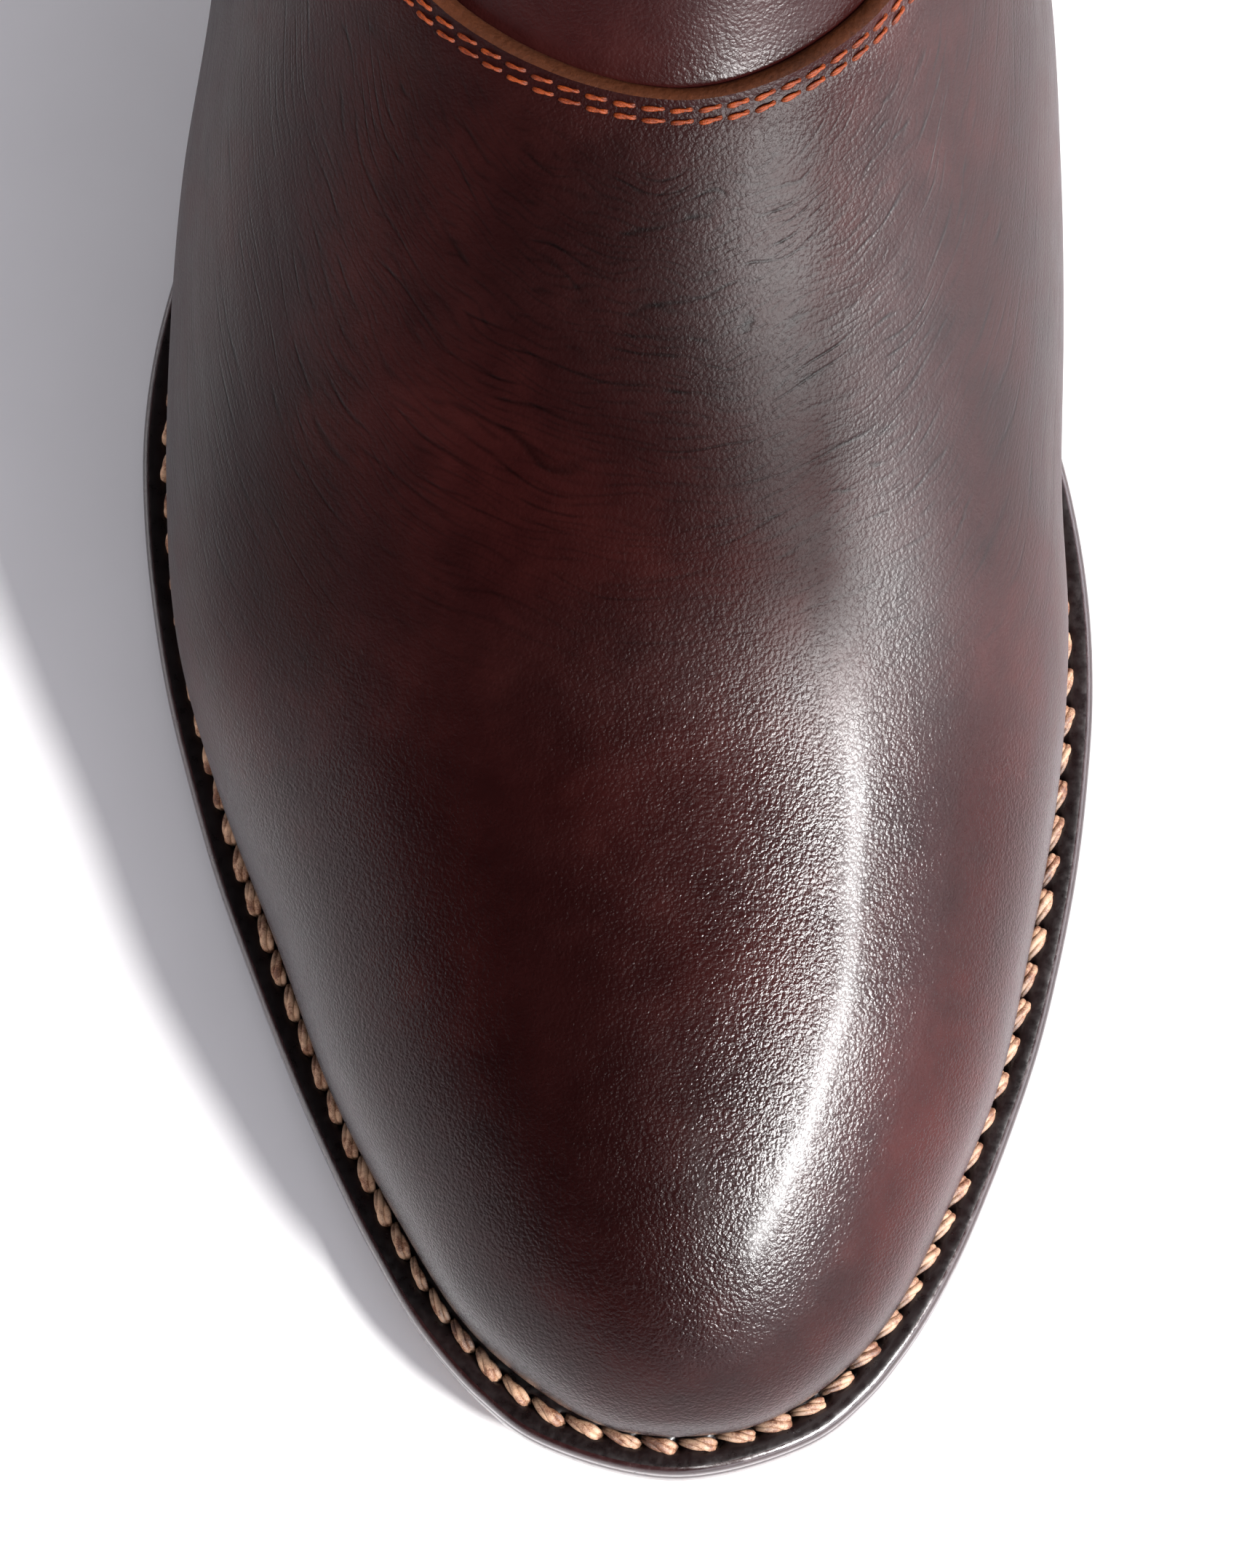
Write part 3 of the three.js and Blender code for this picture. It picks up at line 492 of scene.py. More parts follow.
# ------------------------------------------------------------- thread stitches
def stitches(name, C, D, N, mats, length, width, height, strands=2, turns=0.5, yaw=0.0, sink=0.25, rings=9, sides=7, jitter=0.05, taper=0.0, fat_end=1):
    """each stitch is a few twisted strands that rise from one hole and dive into the next"""
    V, F, AL = [], [], []
    n = len(C)
    rng = np.random.RandomState(len(C) * 13 + strands)
    for i in range(n):
        d = D[i] / np.linalg.norm(D[i]); nn = N[i] / np.linalg.norm(N[i])
        s = np.cross(nn, d); s /= np.linalg.norm(s)
        nn = np.cross(d, s)
        y = yaw + rng.normal(0, 0.03)
        d, s = d * math.cos(y) + s * math.sin(y), -d * math.sin(y) + s * math.cos(y)
        L = length * (1 + rng.normal(0, jitter * 0.4)); ww = width * (1 + rng.normal(0, jitter))
        ph = rng.rand() * 0.8
        r0 = ww * (0.5 if strands == 1 else 0.30 if strands == 2 else 0.25)
        for k in range(strands):
            tt = np.linspace(-1, 1, rings)
            ang = 2 * math.pi * (k / strands + turns * (tt + 1) / 2) + ph
            env = np.sqrt(np.clip(1 - np.abs(tt) ** 3.2, 0.0, 1))
            tp = (fat_end * tt + 1) / 2
            slim = 1 - taper * (1 - smooth01(tp / 0.8))
            lat = 0.0 if strands == 1 else (ww * 0.5 - r0) * np.cos(ang) * (0.35 + 0.65 * env) * slim
            lift = 0.0 if strands == 1 else (height * 0.5 - r0 * 0.6) * 0.5 * np.sin(ang) * env
            z = -sink + height * 0.55 * env * (0.45 + 0.55 * slim) - 0.42 * height * (1 - env)
            c = C[i] + np.outer(tt * L / 2, d) + np.outer(lat + 0 * tt, s) + np.outer(z + lift, nn)
            tan = np.gradient(c, axis=0); tan /= np.linalg.norm(tan, axis=1, keepdims=True)
            rr = r0 * (0.62 + 0.38 * env) * (0.35 + 0.65 * slim)
            base = len(V)
            sd = np.cross(nn, tan); sd /= np.linalg.norm(sd, axis=1, keepdims=True)
            up = np.cross(tan, sd)
            for q in range(rings):
                for m in range(sides):
                    a = 2 * math.pi * m / sides
                    V.append(c[q] + rr[q] * (math.cos(a) * sd[q] + math.sin(a) * up[q] * 0.85))
                    AL.append(tp[q])
            for q in range(rings - 1):
                for m in range(sides):
                    m2 = (m + 1) % sides
                    F.append((base + q * sides + m, base + q * sides + m2, base + (q + 1) * sides + m2, base + (q + 1) * sides + m))
            F.append(tuple(base + m for m in range(sides))[::-1])
            F.append(tuple(base + (rings - 1) * sides + m for m in range(sides)))
    ob = new_object(name, W(np.array(V)), F, mats)
    add_attr(ob, "along", AL)
    return ob

def surf_stitches(name, u, t, pitch, length, width, height, mats, d=0.0, **kw):
    us, ts = resample(u, t, pitch)
    P = surf(us, ts, np.full(len(us), d))
    return stitches(name, P, np.gradient(P, axis=0), normal(us, ts), mats, length, width, height, **kw)

# ------------------------------------------------------------------ materials
def nt(name):
    m = bpy.data.materials.new(name)
    m.use_nodes = True
    t = m.node_tree
    for n in list(t.nodes):
        if n.type != "OUTPUT_MATERIAL":
            t.nodes.remove(n)
    out = t.nodes["Material Output"]
    b = t.nodes.new("ShaderNodeBsdfPrincipled")
    t.links.new(b.outputs[0], out.inputs[0])
    return m, t, b

def N(t, kind, **kw):
    n = t.nodes.new(kind)
    for k, v in kw.items():
        if k in ("inputs",):
            for a, c in v.items():
                n.inputs[a].default_value = c
        else:
            setattr(n, k, v)
    return n

def ramp(t, fac, stops):
    r = t.nodes.new("ShaderNodeValToRGB")
    e = r.color_ramp.elements
    while len(e) > 1:
        e.remove(e[-1])
    e[0].position = stops[0][0]; e[0].color = (*stops[0][1], 1)
    for p, c in stops[1:]:
        x = e.new(p); x.color = (*c, 1)
    t.links.new(fac, r.inputs[0])
    return r.outputs[0]

def math_node(t, op, a, b=None, c=None):
    n = t.nodes.new("ShaderNodeMath"); n.operation = op
    for k, v in enumerate((a, b, c)):
        if v is None:
            continue
        if isinstance(v, (int, float)):
            n.inputs[k].default_value = v
        else:
            t.links.new(v, n.inputs[k])
    return n.outputs[0]

def noise(t, vec, scale, detail=2.0, rough=0.5, dist=0.0):
    n = N(t, "ShaderNodeTexNoise")
    n.inputs["Scale"].default_value = scale
    n.inputs["Detail"].default_value = detail
    n.inputs["Roughness"].default_value = rough
    n.inputs["Distortion"].default_value = dist
    if vec is not None:
        t.links.new(vec, n.inputs["Vector"])
    return n.outputs["Fac"]

def bump(t, height, strength, distance, prev=None):
    b = t.nodes.new("ShaderNodeBump")
    b.inputs["Strength"].default_value = strength
    b.inputs["Distance"].default_value = distance
    t.links.new(height, b.inputs["Height"])
    if prev is not None:
        t.links.new(prev, b.inputs["Normal"])
    return b.outputs[0]

def leather(name, dark, mid, light, rough=(0.19, 0.27), grain=0.62, coat=0.06, creases=False, grain_mm=0.46, spec=0.17, amp=0.00013):
    m, t, b = nt(name)
    tc = N(t, "ShaderNodeTexCoord").outputs["Object"]
    big = noise(t, tc, 24.0, 3.0, 0.55)
    mid_n = noise(t, tc, 180.0, 3.0, 0.6)
    mixv = math_node(t, "ADD", math_node(t, "MULTIPLY", big, 0.74), math_node(t, "MULTIPLY", mid_n, 0.26))
    col = ramp(t, mixv, [(0.30, dark), (0.52, mid), (0.74, light)])
    # pebbled grain: two sizes of rounded cells, pulled out of round by noise
    wob = N(t, "ShaderNodeTexNoise"); wob.inputs["Scale"].default_value = 1100.0
    t.links.new(tc, wob.inputs["Vector"])
    mv = N(t, "ShaderNodeVectorMath", operation="MULTIPLY_ADD")
    t.links.new(wob.outputs["Color"], mv.inputs[0]); mv.inputs[1].default_value = (0.0006, 0.0006, 0.0006)
    t.links.new(tc, mv.inputs[2])
    v1 = N(t, "ShaderNodeTexVoronoi"); v1.inputs["Scale"].default_value = 1000.0 / grain_mm
    t.links.new(mv.outputs[0], v1.inputs["Vector"])
    v2 = N(t, "ShaderNodeTexVoronoi"); v2.inputs["Scale"].default_value = 1000.0 / (grain_mm * 0.5)
    t.links.new(mv.outputs[0], v2.inputs["Vector"])
    fine = noise(t, tc, 4600.0, 2.0, 0.6)
    g = math_node(t, "ADD", math_node(t, "MULTIPLY", v1.outputs["Distance"], -0.80), math_node(t, "MULTIPLY", v2.outputs["Distance"], -0.30))
    g = math_node(t, "ADD", g, math_node(t, "MULTIPLY", fine, 0.22))
    patch = math_node(t, "MULTIPLY_ADD", noise(t, tc, 70.0, 2.0, 0.5), 0.8, 0.55)
    g = math_node(t, "MULTIPLY", g, patch)
    prev = bump(t, noise(t, tc, 150.0, 3.0, 0.5), 0.16, 0.0005)
    if creases:
        a = N(t, "ShaderNodeAttribute", attribute_name="crease_c").outputs["Fac"]
        s = N(t, "ShaderNodeAttribute", attribute_name="crease_t").outputs["Fac"]
        w = N(t, "ShaderNodeAttribute", attribute_name="crease_w").outputs["Fac"]
        def at(fc, ft, detail, off=0.0):
            cx = N(t, "ShaderNodeCombineXYZ")
            t.links.new(math_node(t, "MULTIPLY", a, fc), cx.inputs[0])
            t.links.new(math_node(t, "MULTIPLY_ADD", s, ft, off), cx.inputs[1])
            return noise(t, cx.outputs[0], 1.0, detail, 0.5)
        def lines(per_m, sway, width, gate, lo, hi):
            """fine parallel folds along the flex direction, each broken into dashes"""
            ph = math_node(t, "ADD", math_node(t, "MULTIPLY", a, per_m), math_node(t, "MULTIPLY", sway, 5.5))
            e = math_node(t, "ABSOLUTE", math_node(t, "SUBTRACT", math_node(t, "FRACT", ph), 0.5))
            mr = N(t, "ShaderNodeMapRange", interpolation_type="SMOOTHSTEP")
            t.links.new(e, mr.inputs["Value"]); mr.inputs["From Min"].default_value = 0.0; mr.inputs["From Max"].default_value = width
            mr.inputs["To Min"].default_value = 1.0; mr.inputs["To Max"].default_value = 0.0
            return math_node(t, "MULTIPLY", mr.outputs[0], ramp(t, gate, [(lo, (0.0,) * 3), (hi, (1.0,) * 3)]))
        l1 = lines(640.0, at(110.0, 42.0, 1.0), 0.17, at(640.0, 75.0, 1.0, 7.3), 0.47, 0.62)
        l2 = lines(1450.0, at(230.0, 75.0, 1.0, 3.1), 0.30, at(1450.0, 210.0, 1.0, 11.7), 0.36, 0.60)
        inv = math_node(t, "MULTIPLY", l1, w)
        inv2 = math_node(t, "MULTIPLY", l2, w)
        cc = math_node(t, "ADD", math_node(t, "MULTIPLY", inv, -1.0), math_node(t, "MULTIPLY", inv2, -0.5))
        prev = bump(t, cc, 0.7, 0.000045, prev)
        g = math_node(t, "MULTIPLY", g, math_node(t, "MULTIPLY_ADD", w, -0.45, 1.0))
        # painted shade: the base colour is darkened along the crease lines
        crease_painted_shade = N(t, "ShaderNodeMix", data_type="RGBA", blend_type="MULTIPLY")
        fac = math_node(t, "MINIMUM", math_node(t, "ADD", math_node(t, "MULTIPLY", inv, 0.7), math_node(t, "MULTIPLY", inv2, 0.45)), 1.0)
        t.links.new(fac, crease_painted_shade.inputs[0]); t.links.new(col, crease_painted_shade.inputs[6]); crease_painted_shade.inputs[7].default_value = (0.25, 0.2, 0.2, 1)
        col = crease_painted_shade.outputs[2]
        # painted light and shade: the base colour is scaled across x, lighter on the medial side that faces the key
        # light and darker over the middle; a little noise breaks up the gradient
        sx = N(t, "ShaderNodeSeparateXYZ"); t.links.new(tc, sx.inputs[0])
        painted_light_x = math_node(t, "MULTIPLY_ADD", sx.outputs[0], 10.0, 0.5)
        painted_light_x = math_node(t, "ADD", painted_light_x, math_node(t, "MULTIPLY_ADD", big, 0.16, -0.08))
        sc = N(t, "ShaderNodeVectorMath", operation="MULTIPLY")
        t.links.new(col, sc.inputs[0])
        t.links.new(ramp(t, painted_light_x, [(0.05, (0.42,) * 3), (0.45, (0.30,) * 3), (0.66, (0.40,) * 3), (0.90, (0.80, 0.80, 0.80))]), sc.inputs[1])
        painted_light_scaled = N(t, "ShaderNodeVectorMath", operation="SCALE"); painted_light_scaled.inputs["Scale"].default_value = 2.1
        t.links.new(sc.outputs[0], painted_light_scaled.inputs[0])
        col = painted_light_scaled.outputs[0]
    prev = bump(t, g, grain, amp, prev)
    t.links.new(prev, b.inputs["Normal"])
    t.links.new(col, b.inputs["Base Color"])
    rg = ramp(t, math_node(t, "ADD", math_node(t, "MULTIPLY", mid_n, 0.6), math_node(t, "MULTIPLY", fine, 0.4)), [(0.3, (rough[0],) * 3), (0.7, (rough[1],) * 3)])
    if creases:
        # the flexed upper part is duller than the polished toe
        dull = N(t, "ShaderNodeMapRange", interpolation_type="SMOOTHSTEP")
        t.links.new(sx.outputs[1], dull.inputs["Value"])
        dull.inputs["From Min"].default_value = -0.082; dull.inputs["From Max"].default_value = -0.056
        dull.inputs["To Min"].default_value = 0.0; dull.inputs["To Max"].default_value = 0.17
        rg = math_node(t, "ADD", rg, dull.outputs[0])
        t.links.new(math_node(t, "MULTIPLY_ADD", dull.outputs[0], 0.9, 0.15), b.inputs["Coat Roughness"])
        # less sheen over the creased middle, more where the finish was rubbed on the medial side
        md = N(t, "ShaderNodeMapRange", interpolation_type="SMOOTHSTEP")
        t.links.new(sx.outputs[0], md.inputs["Value"])
        md.inputs["From Min"].default_value = 0.020; md.inputs["From Max"].default_value = 0.034
        md.inputs["To Min"].default_value = -0.86; md.inputs["To Max"].default_value = 0.78
        up_ = N(t, "ShaderNodeMapRange", interpolation_type="SMOOTHSTEP")
        t.links.new(sx.outputs[1], up_.inputs["Value"])
        up_.inputs["From Min"].default_value = -0.050; up_.inputs["From Max"].default_value = -0.026
        up_.inputs["To Min"].default_value = 0.0; up_.inputs["To Max"].default_value = 0.045
        lf = N(t, "ShaderNodeMapRange", interpolation_type="SMOOTHSTEP")
        t.links.new(sx.outputs[0], lf.inputs["Value"])
        lf.inputs["From Min"].default_value = -0.034; lf.inputs["From Max"].default_value = -0.012
        lf.inputs["To Min"].default_value = 0.36; lf.inputs["To Max"].default_value = 0.0
        sp_ = math_node(t, "MULTIPLY_ADD", dull.outputs[0], math_node(t, "ADD", md.outputs[0], lf.outputs[0]), spec)
        t.links.new(math_node(t, "ADD", sp_, up_.outputs[0]), b.inputs["Specular IOR Level"])
    else:
        b.inputs["Specular IOR Level"].default_value = spec
    t.links.new(rg, b.inputs["Roughness"])
    if creases:
        t.links.new(math_node(t, "MULTIPLY_ADD", dull.outputs[0], -0.85 * coat / 0.17, coat), b.inputs["Coat Weight"])
    else:
        b.inputs["Coat Weight"].default_value = coat
    if not creases:
        b.inputs["Coat Roughness"].default_value = 0.15
    b.inputs["Coat IOR"].default_value = 1.45
    return m

def plain_leather(name, dark, light, rough=0.6, scale=1.0, fibre=False, bump_s=0.4, spec=0.4):
    m, t, b = nt(name)
    tc = N(t, "ShaderNodeTexCoord").outputs["Object"]
    n1 = noise(t, tc, 45.0 * scale, 4.0, 0.6)
    n2 = noise(t, tc, 900.0 * scale, 3.0, 0.6)
    k = math_node(t, "ADD", math_node(t, "MULTIPLY", n1, 0.6), math_node(t, "MULTIPLY", n2, 0.4))
    t.links.new(ramp(t, k, [(0.32, dark), (0.68, light)]), b.inputs["Base Color"])
    h = n2
    if fibre:
        mp = N(t, "ShaderNodeMapping"); mp.inputs["Scale"].default_value = (1, 1, 9)
        t.links.new(tc, mp.inputs[0])
        h = math_node(t, "ADD", n2, noise(t, mp.outputs[0], 700.0, 3.0, 0.6))
    t.links.new(bump(t, h, bump_s, 0.0002), b.inputs["Normal"])
    t.links.new(ramp(t, n2, [(0.3, (rough - 0.1,) * 3), (0.7, (rough + 0.1,) * 3)]), b.inputs["Roughness"])
    b.inputs["Specular IOR Level"].default_value = spec
    return m

def thread_mat(name, dark, light, streak=None, spec=0.5, end_painted_shade=((0.0, 0.35), (0.22, 1.0), (0.78, 1.0), (1.0, 0.35))):
    m, t, b = nt(name)
    tc = N(t, "ShaderNodeTexCoord").outputs["Object"]
    n1 = noise(t, tc, 520.0, 3.0, 0.65)
    n2 = noise(t, tc, 6500.0, 3.0, 0.7)
    k = math_node(t, "ADD", math_node(t, "MULTIPLY", n1, 0.62), math_node(t, "MULTIPLY", n2, 0.38))
    stops = [(0.36, dark), (0.60, light)]
    if streak is not None:
        stops = [(0.34, dark), (0.45, streak), (0.53, light), (0.66, tuple(min(1.0, c * 1.3) for c in light))]
    # painted shade: the thread colour is darkened towards both ends, where each stitch dives into its hole
    al = N(t, "ShaderNodeAttribute", attribute_name="along").outputs["Fac"]
    end_shade_mul = N(t, "ShaderNodeMix", data_type="RGBA", blend_type="MULTIPLY")
    end_shade_mul.inputs[0].default_value = 1.0
    t.links.new(ramp(t, k, stops), end_shade_mul.inputs[6])
    t.links.new(ramp(t, al, [(p_, (c_,) * 3) for p_, c_ in end_painted_shade]), end_shade_mul.inputs[7])
    t.links.new(end_shade_mul.outputs[2], b.inputs["Base Color"])
    t.links.new(bump(t, n2, 0.7, 0.00012), b.inputs["Normal"])
    t.links.new(ramp(t, n2, [(0.3, (0.40,) * 3), (0.7, (0.60,) * 3)]), b.inputs["Roughness"])
    b.inputs["Specular IOR Level"].default_value = spec
    return m

OX_MAT = leather("oxblood_vamp", (0.0080, 0.0014, 0.0015), (0.0200, 0.0032, 0.0030), (0.0430, 0.0072, 0.0060), creases=True)
OX2 = leather("oxblood_shaft", (0.0095, 0.0018, 0.0019), (0.0230, 0.0040, 0.0038), (0.0450, 0.0085, 0.0072), rough=(0.26, 0.34), grain=0.40, spec=0.14)
OX3 = leather("oxblood_trim", (0.0075, 0.0016, 0.0017), (0.0180, 0.0033, 0.0032), (0.0360, 0.0070, 0.0062), grain=0.5)
RAW = plain_leather("raw_cut_edge", (0.036, 0.0095, 0.0030), (0.090, 0.024, 0.0070), 0.74, 1.6, bump_s=0.7, spec=0.10)
FLESH = plain_leather("flesh_side", (0.20, 0.11, 0.06), (0.34, 0.21, 0.12), 0.85, 1.0)
LINING = plain_leather("lining_leather", (0.33, 0.19, 0.095), (0.50, 0.32, 0.175), 0.62, 0.8, bump_s=0.3)
WELT = plain_leather("welt_edge_waxed", (0.0035, 0.0020, 0.0020), (0.016, 0.0075, 0.0075), 0.34, 0.9, bump_s=0.28, spec=0.5)
WELT_SIDE = plain_leather("sole_edge_waxed", (0.010, 0.0032, 0.0032), (0.036, 0.011, 0.011), 0.20, 1.0, fibre=True, bump_s=0.12, spec=0.7)
WELT_SIDE.node_tree.nodes["Principled BSDF"].inputs["Coat Weight"].default_value = 0.6
WELT_SIDE.node_tree.nodes["Principled BSDF"].inputs["Coat Roughness"].default_value = 0.12
SOLEB = plain_leather("sole_leather", (0.30, 0.165, 0.085), (0.46, 0.28, 0.16), 0.5, 0.6, bump_s=0.35)
# painted shade: the welt thread darkens strongly towards its stitch ends, most at the end where it dives in
THREAD_W = thread_mat("welt_thread_tan", (0.085, 0.028, 0.014), (0.60, 0.36, 0.22), (0.29, 0.115, 0.055), 0.5, ((0.0, 0.14), (0.22, 0.42), (0.62, 0.95), (0.93, 1.0), (1.0, 0.5)))
THREAD_V = thread_mat("throat_thread_rust", (0.080, 0.012, 0.003), (0.27, 0.046, 0.006), (0.18, 0.028, 0.005), 0.18)
# near-black painted shade meant for the insides of awl holes; no face uses it
HOLE_PAINTED_SHADE = plain_leather("awl_hole_painted_shade", (0.002, 0.001, 0.001), (0.006, 0.003, 0.003), 0.8)

# ------------------------------------------------------------------ the upper
TH = even_th(300)
US_V = even_u(0.16, 16.2, 1.15, [np.pi / 2, 0.0, np.pi])
SEAM_U, SEAM_T = cross_u(f_front, np.linspace(math.radians(-24), math.radians(204), 330), 6.0, 17.5)
SEAM_P = skin(SEAM_U, SEAM_T)
SEAM_L = np.concatenate([[0], np.cumsum(np.linalg.norm(np.diff(SEAM_P, axis=0), axis=1))])

def seam_coords(P):
    d = np.empty(len(P)); l = np.empty(len(P))
    for a in range(0, len(P), 4000):
        q = P[a:a + 4000]
        D = np.linalg.norm(q[:, None, :] - SEAM_P[None, ::2, :], axis=2)
        k = D.argmin(1)
        d[a:a + 4000] = D[np.arange(len(q)), k]; l[a:a + 4000] = SEAM_L[::2][k]
    return d, l

# girth measured from the ridge, for every (u, th)
_gu = np.linspace(0.05, 16.5, 90); _gt = np.linspace(-np.pi / 2, 1.5 * np.pi, 181)
_gp = skin(_gu[:, None] + 0 * _gt, _gt[None, :] + 0 * _gu[:, None])
_gl = np.concatenate([np.zeros((90, 1)), np.cumsum(np.linalg.norm(np.diff(_gp, axis=1), axis=2), axis=1)], 1)
_gl = _gl - np.array([np.interp(np.pi / 2, _gt, r) for r in _gl])[:, None]
def girth(u, t):
    x = np.clip((u - _gu[0]) / (_gu[1] - _gu[0]), 0, 88.999); i = x.astype(int); f = x - i
    tt = np.where(t < -np.pi / 2, t + 2 * np.pi, t); tt = np.where(tt > 1.5 * np.pi, tt - 2 * np.pi, tt)
    y = np.clip((tt - _gt[0]) / (_gt[1] - _gt[0]), 0, 179.999); j = y.astype(int); g = y - j
    return (_gl[i, j] * (1 - f) * (1 - g) + _gl[i + 1, j] * f * (1 - g) + _gl[i, j + 1] * (1 - f) * g + _gl[i + 1, j + 1] * f * g)

FLEX_S = 172.0
def flex_coords(u, t, P):
    """flex lines are U-shaped round the throat: c grows across them, l runs along them"""
    a = girth(u, t); ds = 0.75 * (P[..., 1] - FLEX_S)
    c = np.sqrt(a * a + ds * ds)
    ang = np.arctan2(a, -ds)
    return c, ang * 55.0

def flex_weight(P, d):
    s, z = P[..., 1], P[..., 2]
    return smooth01((s - 72) / 40) * smooth01((d - 2.5) / 8) * smooth01((z - zo(s) - 9) / 14)

def crease_shape(u, t, P):
    """shallow flex creases in mm"""
    d, _l = seam_coords(P)
    c, l = flex_coords(u, t, P)
    wgt = flex_weight(P, d)
    q = np.stack([c + 2.0 * noise3(P, 15.0), l * 0.16, 0 * c], -1)
    a = np.abs(noise3(q, 3.4)); b = np.abs(noise3(q + 9.3, 7.0))
    h = -0.02 * (1 - np.clip(a * 3.2, 0, 1)) ** 2 - 0.06 * (1 - np.clip(b * 3.0, 0, 1)) ** 2
    soft = 0.16 * noise3(P + 5.0, 21.0) * smooth01((P[:, 1] - 10) / 40)
    edge = smooth01(f_above_welt(P) / 8.0)
    dip = -0.22 * np.exp(-((d - 1.8) / 1.2) ** 2)
    return (h * wgt + soft) * edge + dip * edge

def vamp_field(P):
    return np.minimum(f_front(P), f_above_welt(P))

def vamp_rim(P):
    at_seam = smooth01((f_above_welt(P) - 3) / 6)
    return 0.10 + 0.20 * at_seam, 0.55 * at_seam

vamp, vu, vt = clip_shell("vamp_leather", vamp_field, 0.0, 2.3, US_V, TH, [OX_MAT, FLESH, RAW], pole=True, rim=vamp_rim, extra=crease_shape)
_n = len(vu); _tot = len(vamp.data.vertices)
P_all = np.array([v.co for v in vamp.data.vertices]) * 1000 - np.array([OX, OY, 0])
cd, cl = seam_coords(P_all)
_c, _l = flex_coords(vu, vt, P_all[:_n])
_cc = np.zeros(_tot); _cc[:_n] = _c; _ll = np.zeros(_tot); _ll[:_n] = _l
_ww = np.zeros(_tot); _ww[:_n] = flex_weight(P_all[:_n], cd[:_n])
for _p in vamp.data.polygons:
    if _p.material_index == 2 and _p.center.z * 1000 < float(zo(_p.center.y * 1000 - OY)) + 13.5:
        _p.material_index = 0
add_attr(vamp, "crease_c", _cc / 1000); add_attr(vamp, "crease_t", _ll / 1000); add_attr(vamp, "crease_w", _ww)
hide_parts("vamp"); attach(vamp, "boot")

def counter_field(P):
    return np.minimum(np.minimum(-f_front(P) - 0.35, f_counter_top(P)), f_above_welt(P))
US_C = even_u(10.5, 19.5, 1.6, [np.pi / 2, 0.0, -np.pi / 2, np.pi])
US_C = even_u(10.5, 20.5, 1.5, [0.0, -np.pi / 2])
counter, _, _ = clip_shell("counter_leather", counter_field, 0.0, 2.3, US_C, TH[::1], [OX3, FLESH, RAW],
    rim=lambda P: (0.10 + 0.18 * smooth01((f_above_welt(P) - 3) / 6), 0.15 * np.ones(len(P))),
    extra=lambda u, t, P: 0.2 * noise3(P, 24.0) * smooth01(f_above_welt(P) / 8))
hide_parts("heel_counter_cover"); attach(counter, "boot")

THROAT_IN = np.array([[90,87],[105,88],[125,90.2],[139,90.4],[150,89],[161,87],[172,83.5],[182,78.5],[192,72.5],[203,71],[218,73.5],[234,76.5]], float)
BACK_LOW = np.array([[234,76.5],[265,82],[290,88.5],[325,97]], float)
def shaft_front_field(P):
    q = side(P)
    lo = P[..., 2] - np.interp(P[..., 1], THROAT_IN[:, 0], THROAT_IN[:, 1])
    return np.minimum(np.minimum(lo, SEAM_S - 0.15 - P[..., 1]), f_below_top(P))
def shaft_back_field(P):
    lo = P[..., 2] - np.interp(P[..., 1], BACK_LOW[:, 0], BACK_LOW[:, 1])
    return np.minimum(np.minimum(lo, P[..., 1] - SEAM_S - 0.15), f_below_top(P))
TH_S = even_th(230)
US_F = even_u(8.0, 26.0, 1.9, [np.pi / 2, 0.0])
sf, _, _ = clip_shell("shaft_front_leather", shaft_front_field, 2.6, 4.3, US_F, TH_S, [OX2, FLESH, RAW])
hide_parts("shaft_front"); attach(sf, "boot")
US_B = even_u(13.0, 26.0, 1.9, [-np.pi / 2, 0.0])
sb, _, _ = clip_shell("shaft_back_leather", shaft_back_field, 2.6, 4.3, US_B, TH_S, [OX2, FLESH, RAW])
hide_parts("shaft_back"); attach(sb, "boot")

# trim on the shaft
def f_strip(P, half=6.0):
    low = -f_counter_top(P) - 0.4
    bind = f_below_top(P) - 13.4
    return np.minimum(np.minimum(half - np.abs(P[..., 1] - SEAM_S), low), bind)
US_T = even_u(15.0, 26.0, 1.5, [0.0])
TH_M = np.linspace(-0.75, 0.75, 90); TH_L = TH_M + np.pi
def open_shell(name, field, d0, d1, us, ths, mats, **kw):
    # a panel that does not run round the leg: clip_shell over the limited range of angles the caller gives
    return clip_shell(name, field, d0, d1, us, ths, mats, **kw)
def only(sidex, field):
    return (lambda P: np.minimum(field(P), (P[..., 0] - 1) * sidex))
for nm, sx, tt in (("medial", 1, TH_M), ("lateral", -1, TH_L)):
    o, _, _ = open_shell("side_strip_leather_" + nm, only(sx, f_strip), 0.9, 2.3, US_T, tt, [OX3, FLESH, RAW], rim=lambda P: (0.2 * np.ones(len(P)), 0.25 * np.ones(len(P))))
    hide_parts("side_strip_" + nm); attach(o, "boot")
def top_u(ths, drop=0.0):
    u, t = cross_u(lambda P: f_below_top(P) - drop, ths, 20.0, 26.0)
    return np.interp(ths, t, u)

